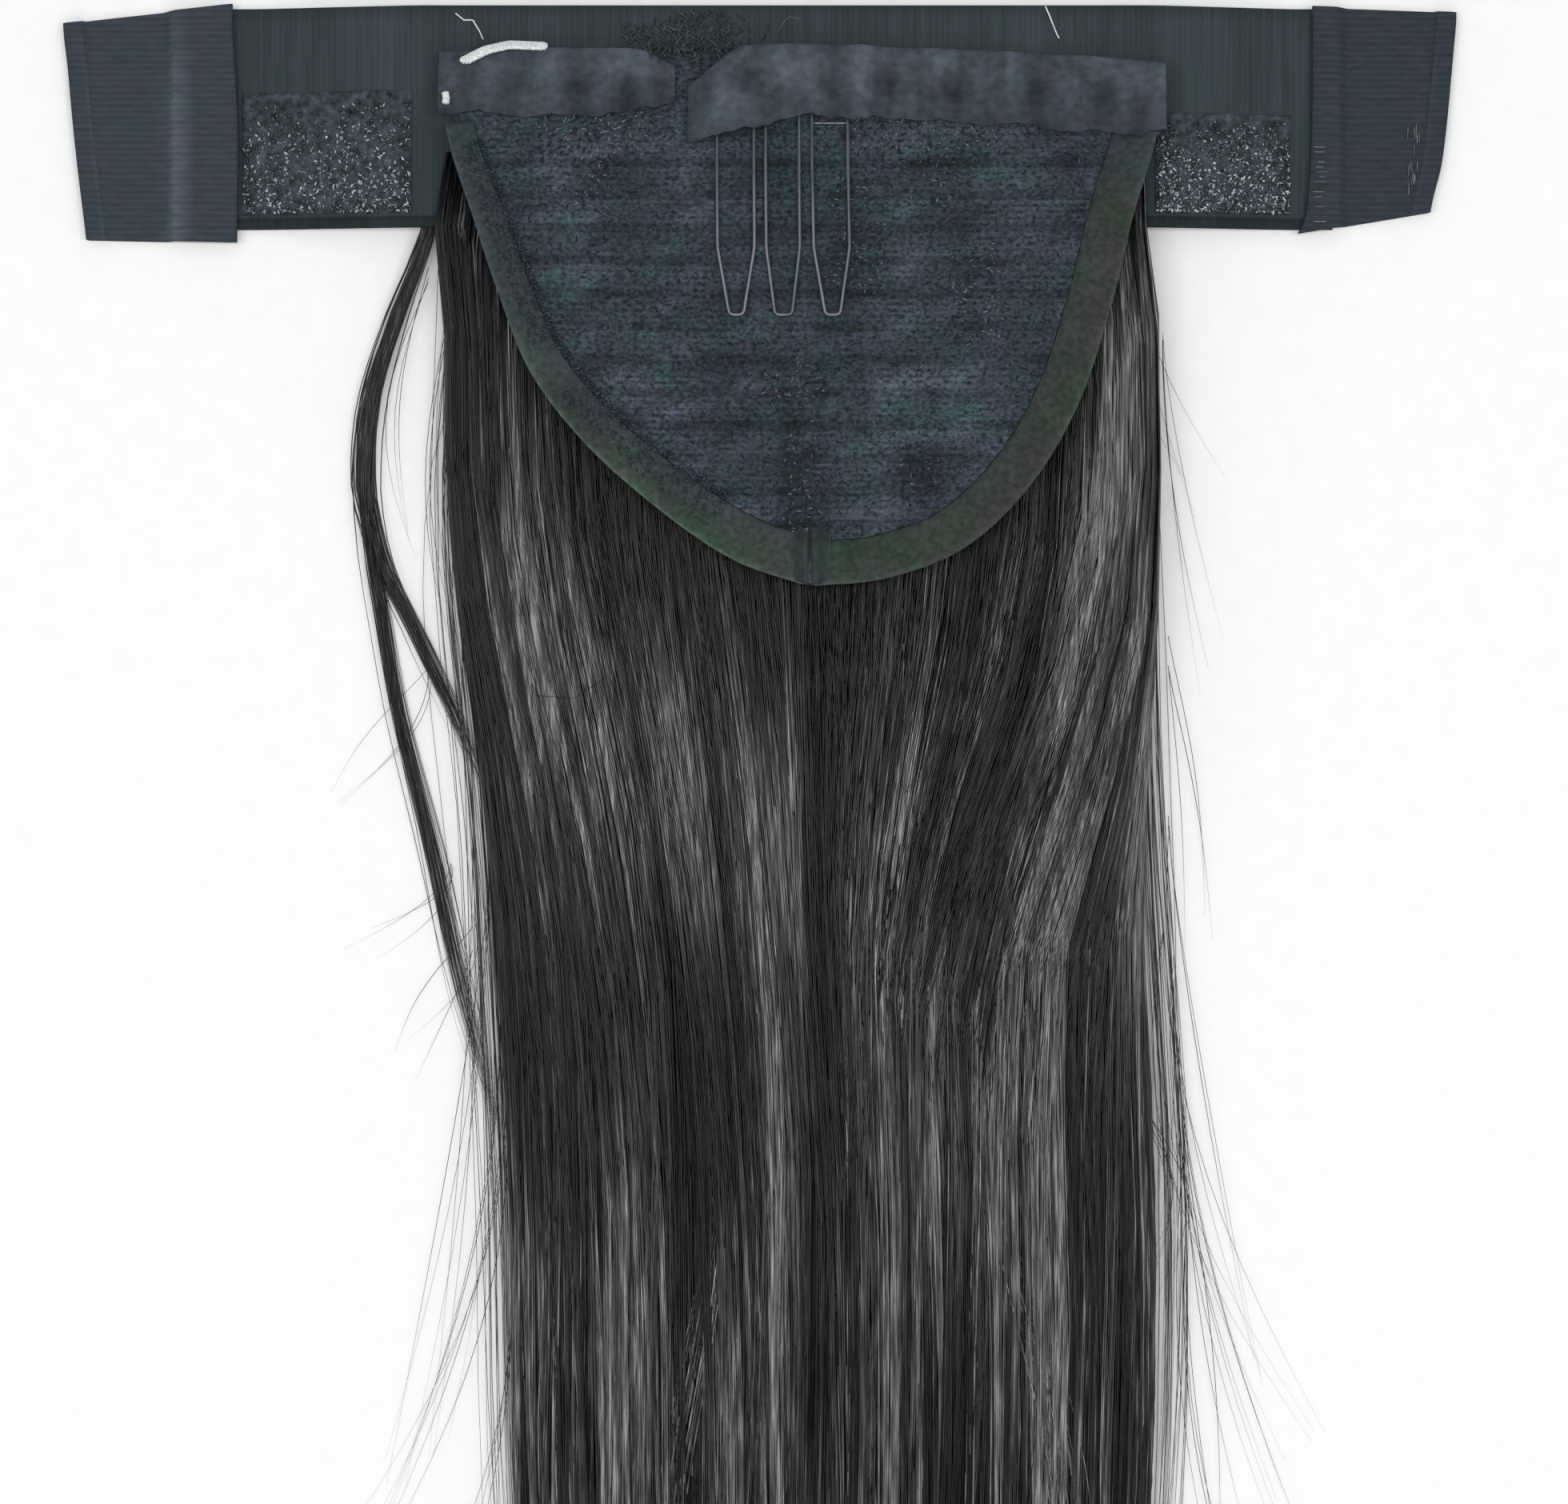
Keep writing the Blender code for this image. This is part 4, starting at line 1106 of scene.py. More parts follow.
    def cross_locks(self):
        """Locks that drift across the rest on their way down."""
        rng = np.random.default_rng(SEED_CROSS)
        part = np.linspace(0.0, 1.0, self.STATIONS)[None, :]
        lines, tones = [], []
        for lock in CROSS_LOCKS:
            points = np.array(lock.points, float)
            start, end = points[0, 1], points[-1, 1]
            root = start + (end - start) * rng.uniform(0.0, 0.25, (lock.count, 1))
            down = root + (end - root) * part * rng.uniform(0.85, 1.0, (lock.count, 1))
            steps = (-18, -9, 0, 9, 18)
            middle = sum(np.interp(down + step, points[:, 1], points[:, 0]) for step in steps) / len(steps)
            taper = np.sin(math.pi * np.clip(part * 0.9 + 0.08, 0, 1)) ** 0.5
            x = middle + rng.normal(0, 0.6, (lock.count, 1)) * lock.half_width * taper
            left, right = (hair_x(side, down, self.settings) for side in (0.0, 1.0))
            share = np.clip((x - left) / (right - left), 0, 1)
            top = hair_heights(share, down)[1]
            z = top - 1.3 + 1.5 * taper + rng.normal(0, 0.2, (lock.count, 1))
            lines.append(place(x, down, z))
            own = lock.tone + rng.normal(0, 0.20, (lock.count, 1)) + 0.12 * ripple(x, down / 9, 71)
            tones.append(np.clip(own, 0.0, 1.0))
        lines, tones = np.concatenate(lines), np.concatenate(tones)
        strands("hair_cross_locks", lines, self.radii(rng, len(lines), self.settings.strand_radius),
                tones, self.material)

    def loose_locks(self):
        """The lock that bows out at the left, and its inner branch."""
        branch_rows = [row for row in LOOSE_OUTER_ROWS if row.down < 90] + LOOSE_INNER_ROWS
        for name, node_name, rows, count, seed in (
                ("loose_lock_long", "loose_lock_outer", LOOSE_OUTER_ROWS, 60, 505),
                ("loose_lock_branch", "loose_lock_inner", branch_rows, 80, 506)):
            rng = np.random.default_rng(seed)
            part = np.linspace(0.0, 1.0, 24)[None, :]
            start, end = rows[0].down, rows[-1].down
            down = start + (end - start) * part * rng.uniform(0.9, 1.0, (count, 1))
            split = smooth_step((down - 92.0) / 14.0)
            loosen, thin = (0.25, 0.42) if name == "loose_lock_long" else (-0.1, 0.15)
            wide = read_table(rows, down, "half_width") * (0.8 + loosen * split)
            turn = rng.uniform(0, 2 * math.pi, (count, 1)) + down / 60
            reach = np.sqrt(rng.uniform(0, 1, (count, 1)))
            reach = np.where(rng.uniform(0, 1, (count, 1)) < 0.15, reach * 2.0, reach)
            x = read_table(rows, down, "x") + wide * reach * np.cos(turn)
            x = x + rng.normal(0, 0.35, (count, 1)) * part ** 2
            z = read_table(rows, down, "height") + 0.8 * reach * np.sin(turn)
            lines = place(x, down, np.maximum(z, 0.2))
            own = rng.uniform(0.75, 1.25, (count, 1)) * self.settings.strand_radius * 0.72
            radii = own * (1 - 0.8 * smooth_step((part - 0.7) / 0.3)) * (1 - thin * split)
            piece = strands(name, lines, radii, rng.beta(2, 2.5, count), self.material)
            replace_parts(piece, node_name)


class HAIRPIECE_OT_cap(bpy.types.Operator):
    """Makes the net cap with its sewn rows, its speckle of threads and its dart."""

    bl_idname = "hairpiece.cap"
    bl_label = "Net cap"

    def execute(self, context):
        cloth = context.scene.hairpiece_cloth
        look = Look(1700.0, (0.7, 1.0, 0.5), 0.9, 0.00022, 1.18, "Y", 0.07, 1.2)
        material = cloth_material("net_knit", tuple(cloth.net_colour), look)
        net = self.sheet(material)
        specks = self.threads(cloth)
        dart = self.dart()
        self.weft_rows()
        return {"FINISHED"}

    def grid(self, rows, columns):
        """Places over the net, from its sewn top edge to its point."""
        along = (np.linspace(0.0, 1.0, rows) ** 1.5 * 0.985)[:, None]
        share = np.linspace(0.0, 1.0, columns)[None, :]
        left = inset_rim(along, "left", NET_INSET)
        right = inset_rim(along, "right", NET_INSET)
        return left[0] + (right[0] - left[0]) * share, left[1] + (right[1] - left[1]) * share

    def relief(self, x, down):
        """Low relief: a ridge over each weft, the dart and fine unevenness."""
        row = np.exp(-(((down - WEFT_FIRST) % WEFT_PITCH - 2.95) / 0.9) ** 2) * 0.28
        row = row * smooth_step((down - 27) / 3)
        off = x - DART_X
        dart = 0.35 * np.exp(-(off / 0.5) ** 2) * smooth_step((down - 84) / 10)
        pleats = 0.25 * np.exp(-((np.abs(off) - 2.6) / 0.9) ** 2) * smooth_step((down - 88) / 10)
        row = row * (0.7 + 0.5 * ripple(x / 4, down / 3, 5))
        return row - dart + pleats + 0.1 * ripple(x / 2, down / 2, 6)

    def worn(self, x, down, column):
        """How far each place lies in the worn areas, with soft borders."""
        total = 0.0
        for area in WORN:
            beside = smooth_step((area.half_x - np.abs(x - area.x)) / WORN_BORDER + 0.5)
            above = smooth_step((area.half_down - np.abs(down - area.down)) / WORN_BORDER + 0.5)
            total = total + getattr(area, column) * beside * above
        return total

    def sheet(self, material):
        """The net itself."""
        x, down = self.grid(112, 130)
        lift = self.relief(x, down)
        upper = place(x, down, net_over(x, down) + lift)
        lower = place(x, down, net_under(x, down))
        tone = 0.48 + 0.20 * ripple(x / 4, down / 1.6, 7) - 0.10 * np.exp(-((x - 4) / 3.0) ** 2)
        # Painted shade along the groove between the weft ridges
        groove = np.exp(-(((down - WEFT_FIRST) % WEFT_PITCH - 5.0) / 0.6) ** 2)
        tone = tone - 0.22 * groove * smooth_step((down - 27) / 3)
        tone = np.clip(tone + self.worn(x, down, "shade"), 0.05, 0.95)
        net = slab("cap_net_sheet", upper, lower, material, tone)
        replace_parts(net, "cap_net")
        return net

    def knit_spots(self, rng, pitch):
        """Stitches along the net's fine rows, more of them in the worn areas."""
        rows = []
        for down in np.arange(12.0, 103.0, pitch):
            left, right = rim_x(down, "left") + 5.0, rim_x(down, "right") - 7.0
            run = right - left
            count = int(run / STITCH_PITCH)
            if count < 2:
                continue
            x = left + (np.arange(count) + rng.uniform(0.0, 1.0, count)) / count * run
            rows.append(np.stack([x, np.full(count, down) + rng.normal(0, 0.35, count)], axis=-1))
        spots = np.concatenate(rows)
        specks = self.worn(spots[:, 0], spots[:, 1], "specks")
        chance = 0.62 + 0.3 * ripple(spots[:, 0] / 3, spots[:, 1] / 2, 61) + 0.4 * specks
        return spots[rng.uniform(0, 1, len(spots)) < chance]

    def threads(self, cloth):
        """Short stitches of pale and dark thread, on the net and over the binding's left inner part."""
        rng = np.random.default_rng(SEED_NET)
        knit = self.knit_spots(rng, cloth.net_pitch / MM)
        turn = np.linspace(0.0, 1.0, 64, endpoint=False)
        outline = np.stack([np.interp(turn, PATCH_CORNERS, PATCH_X),
                            np.interp(turn, PATCH_CORNERS, PATCH_DOWN)], axis=-1)
        along = rng.uniform(0.16, 0.86, EDGE_STITCHES)
        band = read_table(RIM_ROWS, along, "band")
        reach = (1.15 - 0.8 * rng.uniform(0, 1, EDGE_STITCHES) ** 1.6) * band
        edge = np.stack(inset_rim(along, "left", reach), axis=-1)
        spots = np.concatenate([knit, outline, edge])
        count, on_net = len(spots), len(knit) + len(outline)
        on_edge = (np.arange(count) >= on_net).astype(float)
        half = rng.uniform(0.14, 0.48, count)
        lean = rng.normal(0, 0.6, count) + np.where(rng.uniform(0, 1, count) < 0.4, math.pi / 2, 0.0)
        steps = np.linspace(-1.0, 1.0, 3)[None, :]
        x = spots[:, :1] + half[:, None] * steps * np.cos(lean)[:, None]
        down = spots[:, 1:] + half[:, None] * steps * np.sin(lean)[:, None]
        arch = 0.16 * (1 - steps ** 2)
        fold = np.concatenate([np.zeros(on_net), binding_height(reach / band)])
        z = net_over(x, down) + self.relief(x, down) * (1 - on_edge[:, None]) + arch + fold[:, None]
        specks = self.worn(spots[:, 0], spots[:, 1], "specks")
        radii = np.full((count, 3), NET_THREAD_RADIUS) * rng.uniform(0.7, 1.3, (count, 1))
        radii = radii * (1 + 0.6 * specks[:, None])
        dark = rng.uniform(0, 1, count) < 0.42 + 0.3 * ripple(spots[:, 0] / 2, spots[:, 1] / 1.5, 62)
        tones = np.where(dark, 0.2 * rng.uniform(0, 1, count) * (1 - 0.6 * specks).clip(0, 1),
                         rng.beta(2, 2.4, count) + 0.45 * specks)
        tones = tones + on_edge * (0.42 - tones) * 0.4
        tones[len(knit):on_net] = 0.85
        shades = [(0.0, (0.008, 0.010, 0.018)), (0.45, (0.034, 0.045, 0.060)), (1.0, (0.13, 0.15, 0.18))]
        material = toned_thread("net_thread", (0.05, 0.06, 0.08), 0.6, 0.4, shades, 4000.0, 0.00005)
        return strands("cap_net_threads", place(x, down, z), radii, tones, material)

    def dart(self):
        """The cap's point is taken in by a seam with a pleat on each side."""
        x = np.linspace(5.2, 12.8, 45)[:, None]
        end = rim_down(x) - 0.25
        down = DART_TOP + (end - DART_TOP) * np.linspace(0.0, 1.0, 34)[None, :]
        off = x - DART_X
        seam = np.exp(-(off / 0.35) ** 2)
        pleats = np.exp(-((np.abs(off) - 1.9) / 0.9) ** 2)
        rim = smooth_step((down - 96.0) / 2.5)
        fade = smooth_step((3.8 - np.abs(off)) / 1.4) * smooth_step((down - DART_TOP) / 3.0)
        fade = fade * smooth_step((end - down) / 0.8)
        base = net_over(x, down) + (GAP + 1.0) * rim
        upper = base - 0.35 + fade * (0.55 + 0.30 * pleats - 0.5 * seam)
        tone = np.broadcast_to(0.50 - 0.22 * pleats - 0.36 * seam, down.shape)
        look = Look(1200.0, (1.0, 0.4, 1.0), 0.30, 0.00010, 0.0, "X", 0.0, 1.0)
        material = cloth_material("dart_knit", (0.037, 0.047, 0.047), look)
        return slab("cap_dart", place(x, down, upper), place(x, down, base - 0.9), material,
                    np.clip(tone, 0.05, 1.0))

    def weft_rows(self):
        """The sewn rows keep their solids and take a ropy thread finish."""
        look = Look(2200.0, (1.0, 0.4, 1.0), 0.5, 0.0002, 0.7, "X", 0.5, 0.0)
        material = cloth_material("weft_thread", (0.02, 0.02, 0.025), look)
        for name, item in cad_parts.items():
            if name.startswith("weft_track"):
                item.data.materials.clear()
                item.data.materials.append(material)


class HAIRPIECE_OT_binding(bpy.types.Operator):
    """Makes the soft binding folded round the cap's edge, with its pale rim line."""

    bl_idname = "hairpiece.binding"
    bl_label = "Edge binding"

    def execute(self, context):
        cloth = context.scene.hairpiece_cloth
        look = Look(900.0, (1.0, 1.0, 1.0), 0.42, 0.00012, 0.0, "X", 0.0, 1.3, True)
        material = cloth_material("binding_knit", tuple(cloth.binding_colour), look)
        run = np.concatenate([np.linspace(0.12, 0.90, 90), np.linspace(0.904, 0.99, 34)])
        rings, tones, tints = [], [], []
        for side, alongs in (("left", run), ("right", run[::-1])):
            for along in alongs:
                band = read_table(RIM_ROWS, along, "band") if side == "left" else 8.0
                ring, tone = self.section(along, side, float(band))
                rings.append(ring)
                tones.append(tone)
                tint = 0.5 * smooth_step((along - 0.35) / 0.3)
                inner = 0.85 - 0.5 * smooth_step((along - 0.8) / 0.2)
                if side == "right":
                    tint = 0.9 - 0.3 * smooth_step((along - 0.75) / 0.25)
                    tint = tint * smooth_step((along - 0.18) / 0.12)
                    inner = 0.35
                tints.append(tint * (1 - inner * self.inward(len(tone))))
        piece = loft("edge_binding_strip", np.array(rings), material, np.array(tones),
                     np.array(tints))
        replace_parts(piece, "edge_binding")
        return {"FINISHED"}

    def inward(self, count):
        """1 along the section's inner upper edge, falling to 0 at the rim."""
        share = np.zeros(count)
        share[:7] = (1.0, 0.97, 0.84, 0.7, 0.56, 0.42, 0.25)
        return smooth_step((share - 0.25) / 0.6)

    def section(self, along, side, band):
        """The folded strip's section: rounded over the edge, flat on the net."""
        ply = 1.0
        shape = [(band, "over", 0.1, 0.46)]
        for share in (0.97, 0.84, 0.7, 0.56, 0.42, 0.25):
            shape.append((band * share, "over", float(binding_height(share)), 0.5))
        shape += [(1.1, "over", GAP + ply, 0.52), (0.5, "over", GAP + ply * 0.85, 0.62),
                  (0.1, "over", GAP + ply * 0.4, 0.80), (0.0, "over", -0.2, 0.72),
                  (0.1, "under", -GAP - ply * 0.4, 0.5), (0.5, "under", -GAP - ply, 0.45),
                  (5.0, "under", -GAP - ply, 0.4), (5.0, "under", -GAP, 0.4),
                  (NET_INSET - GAP, "under", -GAP, 0.4), (NET_INSET - GAP, "over", GAP, 0.4)]
        ring, tones = [], []
        low_rim = float(smooth_step((along - 0.45) / 0.2)) if side == "left" else 0.0
        for distance, face, height, tone in shape:
            x, down = inset_rim(along, side, distance)
            kink = math.exp(-((down - 67.0) / 3.0) ** 2) if side == "left" else 0.0
            base = net_over(x, down) if face == "over" else net_under(x, down)
            if face == "over" and height > 0.5:
                height = height + 0.35 * kink
            if face == "over":
                height = height * (0.3 + 0.7 * float(smooth_step((along - 0.13) / 0.07)))
            if distance < 0.3:
                tone = tone + 0.25 * low_rim
            tone = tone - 0.03 + 0.03 * smooth_step((along - 0.5) / 0.3) + 0.1 * kink
            tone = tone + 0.07 * ripple(x / 3.0, down / 3.0, 64)
            tone = tone - (0.06 if side == "right" else 0.0)
            ring.append(place(x, down, base + height))
            tones.append(tone)
        return np.array(ring), np.array(tones)


# Hollows pressed into the tapes, each darkened with painted shade by its depth
HOLLOWS = table(
    "x down wide tall depth",
    (-45.1, 16.8, 2.4, 2.2, 1.0), (-34.9, 16.8, 2.2, 2.4, 0.9),
    (-23.3, 17.4, 2.0, 2.2, 1.0), (-52.5, 14.0, 1.6, 3.5, 0.5),
    (-29.3, 12.4, 1.2, 2.6, 0.5), (-10.0, 16.6, 1.4, 2.2, 0.9),
    (-2.6, 14.5, 2.2, 1.6, 0.8), (5.2, 18.6, 2.4, 1.4, 0.6),
    (12.6, 16.4, 1.6, 2.4, 0.8), (23.3, 16.0, 2.2, 2.6, 1.0),
    (34.9, 16.6, 2.2, 2.6, 1.0), (43.0, 14.0, 1.4, 2.6, 0.5),
    (49.0, 18.0, 2.4, 2.6, 1.0), (61.2, 19.6, 2.6, 3.0, 1.0),
    (68.5, 20.4, 1.6, 2.6, 0.7),
)

TAPES = table(
    "side rows columns seed flat",
    ("left", LEFT_TAPE_ROWS, 116, 21, (0.0125, 0.052)),
    ("right", RIGHT_TAPE_ROWS, 220, 22, (0.0140, 0.105)),
)


class HAIRPIECE_OT_tapes(bpy.types.Operator):
    """Makes the two puckered tapes along the cap's sewn top edge."""

    bl_idname = "hairpiece.tapes"
    bl_label = "Puckered tapes"

    def execute(self, context):
        cloth = context.scene.hairpiece_cloth
        look = Look(700.0, (0.8, 1.0, 0.8), 0.32, 0.00014, 0.0, "Y", 0.0, 0.5)
        material = cloth_material("tape_knit", tuple(cloth.tape_colour), look)
        for tape in TAPES:
            piece = self.tape(tape, material)
            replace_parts(piece, "top_tape_" + tape.side)
        return {"FINISHED"}

    def tape(self, tape, material):
        """One gathered tape: puckers, hollows between them and small creases."""
        seed, start, end = tape.seed, tape.rows[0].x, tape.rows[-1].x
        x = np.linspace(start, end, tape.columns)[:, None]
        share = np.linspace(0.0, 1.0, 26)[None, :]
        top = read_table(tape.rows, x, "upper")
        low = read_table(tape.rows, x, "lower")
        # The right tape starts with a cut corner, and the left one ends with one
        if tape.side == "right":
            top = top + 5.0 * (1 - smooth_step((x - start) / 11.0))
        else:
            top = top + 2.5 * smooth_step((x - end + 6.0) / 6.0)
        scallop = 0.4 * np.sin(2 * math.pi * (x - start) / PUCKER_PITCH + 1.0)
        scallop = scallop + 0.8 * ripple(x * 0.9, x * 0.2, seed + 3)
        down = top + (low + scallop * 0.7 - top) * share
        wave = 0.5 - 0.5 * np.cos(2 * math.pi * (x - start) / PUCKER_PITCH)
        pucker = 1.1 * wave * np.maximum(0.0, np.sin(math.pi * np.minimum(1.0, share * 1.1 + 0.1)))
        hollow = np.zeros(down.shape)
        for spot in HOLLOWS:
            away = ((x - spot.x) / spot.wide) ** 2 * 0.7 + ((down - spot.down) / spot.tall) ** 2 * 0.4
            hollow = hollow + spot.depth * np.exp(-away)
        crease = 0.26 * ripple(x / 1.3, down / 2.4, seed) + 0.30 * ripple(x / 2.8, down / 3.0, seed + 5)
        soft = np.sin(math.pi * np.clip(share, 0.03, 0.97)) ** 0.5
        melt = smooth_step((share - 0.72) / 0.28)
        base = net_over(x, down) + GAP + comb_bulge(x) * (1 - 0.5 * melt) + pucker * (1 - hollow.clip(0, 1))
        upper = base + TAPE_THICK * (1 - 0.5 * melt) + (1.5 * crease + 0.4) * soft - 0.5 * hollow * soft
        upper = np.maximum(upper, base + 0.3)
        x_wide = x + 0.35 * ripple(x / 3, share * 3, seed + 9) * soft
        puff_highlight = np.exp(-((share - 0.32) / 0.26) ** 2) * (1 - hollow.clip(0, 1))
        gather = ripple(x / 1.1, down / 9.0, seed + 7)
        # Painted light and shade from the relief: paler on the pucker crests, the raised creases and the
        # puffed upper half, with painted shade in the hollows; also darker towards the lower edge, and an
        # uneven gather
        tone = 0.47 + 0.12 * (wave - 0.5) + 0.30 * crease + 0.10 * gather - 0.24 * hollow - 0.10 * melt
        tone = tone + 0.12 * puff_highlight
        return slab("puckered_tape_" + tape.side, place(x_wide, down, upper),
                    place(x_wide, down, base + 0.0 * share), material, np.clip(tone, 0.05, 0.95))


class HAIRPIECE_OT_strap(bpy.types.Operator):
    """Makes the ribbed elastic strap and its stitched loops above the cap."""

    bl_idname = "hairpiece.strap"
    bl_label = "Elastic strap"

    def execute(self, context):
        cloth = context.scene.hairpiece_cloth
        look = Look(900.0, (1.0, 0.05, 1.0), 0.22, 0.00010, 1.0, "X", 0.15, 0.3)
        material = cloth_material("elastic_weave", tuple(cloth.strap_colour), look)
        columns, rows = 300, 20
        x = np.linspace(*STRAP_ENDS, columns)[:, None]
        body = np.linspace(0.0, 0.93, rows - 8)
        share = np.concatenate([body, [0.945, 0.952, 0.958, 0.964, 0.975, 0.988, 0.996, 1.0]])[None, :]
        down = STRAP_TOP + (STRAP_LOW - STRAP_TOP) * share
        under = strap_under(x)
        selvedge = SELVEDGE_RISE * smooth_step((down - (STRAP_LOW - SELVEDGE)) / 0.8)
        edge = -0.3 * np.exp(-((1 - share) / 0.006) ** 2)
        over = under + STRAP_THICK + selvedge + edge
        dark_line = -0.28 * smooth_step((down - (STRAP_LOW - 2.2)) / 0.4)
        tone = np.clip(0.5 + 0.05 * ripple(x / 3, down / 20, 31) + dark_line, 0.05, 1.0)
        strap = slab("elastic_strap", place(x, down, over), place(x, down, under + 0 * share),
                     material, tone)
        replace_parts(strap, "wrap_strap")
        self.loops()
        return {"FINISHED"}

    def loops(self):
        """Upright loops of thread where the cap is sewn to the strap."""
        rng = np.random.default_rng(SEED_STRAP_LOOPS)
        shades = [(0.0, (0.018, 0.026, 0.028)), (0.5, (0.040, 0.058, 0.058)), (1.0, (0.070, 0.100, 0.088))]
        material = toned_thread("strap_loop_thread", (0.06, 0.08, 0.06), 0.6, 0.3, shades, 3000.0, 0.00005)
        count = STRAP_LOOPS
        middle_x = rng.normal(-13.0, 5.5, count).clip(-24.0, 1.5)
        middle_down = rng.normal(6.4, 2.3, count).clip(2.2, 11.5)
        arch = np.linspace(0.0, math.pi, 6)[None, :]
        half = rng.uniform(0.3, 0.8, count)[:, None]
        down = middle_down[:, None] - half * np.cos(arch)
        x = middle_x[:, None] + rng.normal(0, 0.5, (count, 1)) * np.cos(arch)
        under = np.where(down < 8.8, strap_under(x) + STRAP_THICK, net_over(x, down) + TAPE_THICK + 0.5)
        z = under + 0.10 + 0.25 * np.sin(arch)
        radii = np.full((count, 6), LOOP_RADIUS) * rng.uniform(0.7, 1.3, (count, 1))
        strands("strap_loops", place(x, down, z), radii, rng.beta(1.6, 2.0, count), material)


ARCH = np.linspace(0.0, math.pi, 5)[None, :]
PADS = table(
    "side start end upper lower seed",
    ("left", -94.0, -62.8, 16.0, 38.2, 41),
    ("right", 71.4, 96.4, 20.0, 38.2, 42),
)


class HAIRPIECE_OT_pile(bpy.types.Operator):
    """Makes the two pads of loop pile, some of their loops with painted glints."""

    bl_idname = "hairpiece.pile"
    bl_label = "Pile pads"

    def execute(self, context):
        cloth = context.scene.hairpiece_cloth
        look = Look(750.0, (1.0, 1.0, 1.0), 0.8, 0.0003, 0.0, "X", 0.0, 0.0)
        ground = cloth_material("pile_ground", tuple(value * 1.15 for value in cloth.strap_colour), look)
        shades = [(0.0, (0.022, 0.028, 0.032)), (0.6, (0.09, 0.112, 0.128)), (0.8, (0.26, 0.30, 0.33)),
                  (1.0, (0.62, 0.68, 0.72))]
        loop = toned_thread("pile_loop", (0.1, 0.1, 0.1), 0.35, 0.6, shades, 3000.0, 0.00004)
        for pad in PADS:
            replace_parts(self.ground(pad, ground), "pile_" + pad.side)
            self.loops(pad, cloth.loops_per_pad, loop)
        return {"FINISHED"}

    def ground(self, pad, material):
        """The ground that the loops stand on, soft at its borders."""
        x = np.linspace(pad.start, pad.end, 60)[:, None]
        share = np.linspace(0.0, 1.0, 40)[None, :]
        down = pad.upper + (pad.lower - pad.upper) * share
        base = strap_under(x) + STRAP_THICK + 0.1 + 0 * share
        rim = smooth_step(np.minimum(share / 0.45, (1 - share) / 0.08))
        rim = rim * smooth_step(np.minimum(x - pad.start, pad.end - x) / 3.5)
        top = base + 0.06 + (0.6 + 0.12 * ripple(x * 1.2, down * 1.2, 43)) * rim
        tone = 0.46 + 0.14 * ripple(x * 1.6, down * 1.6, 44) + 0.08 * rim
        return slab("pile_pad_" + pad.side, place(x, down, top), place(x, down, base),
                    material, tone)

    def loops(self, pad, count, material):
        """Small arched loops, some with a painted glint and more of these lower down, thinning out at the
        upper border.
        """
        rng = np.random.default_rng(pad.seed)
        tall = pad.lower - pad.upper
        x = rng.uniform(pad.start + 0.3, pad.end - 0.3, count)
        down = pad.upper + tall * rng.uniform(0.0, 1.0, count) ** 0.6 * 0.98 + 0.3
        down = np.clip(down + rng.normal(0, 0.5, count), pad.upper + 0.4, pad.lower - 0.4)
        border = pad.upper + 4.0 + 3.5 * ripple(x / 2.5, 0.0 * x, pad.seed)
        kept = (down > border) | (rng.uniform(0, 1, count) < 0.3)
        x, down = x[kept], down[kept]
        count = len(x)
        turn = rng.uniform(0, 2 * math.pi, count)[:, None]
        half = rng.uniform(0.10, 0.34, count)[:, None] * np.cos(ARCH)
        loop_x = x[:, None] - half * np.cos(turn)
        loop_down = down[:, None] - half * np.sin(turn)
        rise = rng.uniform(0.35, 0.75, count)[:, None]
        z = strap_under(loop_x) + STRAP_THICK + 0.55 + rise * np.sin(ARCH)
        radii = np.full((count, ARCH.size), LOOP_RADIUS) * rng.uniform(0.6, 1.5, (count, 1))
        # Painted glints: a share of the loops, growing towards the lower border, take the palest tones
        painted_glint = rng.uniform(0, 1, count) < 0.03 + 0.17 * smooth_step((down - pad.upper) / tall * 1.6)
        tones = np.where(painted_glint, rng.uniform(0.8, 1.0, count), rng.uniform(0.0, 0.8, count))
        strands("pile_loops_" + pad.side, place(loop_x, loop_down, z), radii, tones, material)


# The ribbon ends: their ribs, hems, slanted borders and the height of the strap's upper side
RIB_PITCH = 1.12
HEM = 3.6
SLOPED = 14.0
ON_STRAP = STRAP_THICK + SELVEDGE_RISE + GAP
# fold is the strength of the painted highlight along the step onto the strap; darker is taken off the tone
# of the whole end
RIBBONS = table(
    "side rows strap_end turn flat upper_lean lower_lean fold darker",
    ("left", LEFT_TAB_ROWS, STRAP_ENDS[0], -1, (0.043, 0.036), 3.4, 0.6, 0.34, 0.0),
    ("right", RIGHT_TAB_ROWS, STRAP_ENDS[1], 1, (0.041, 0.032), 1.0, 4.0, 0.06, 0.10),
)


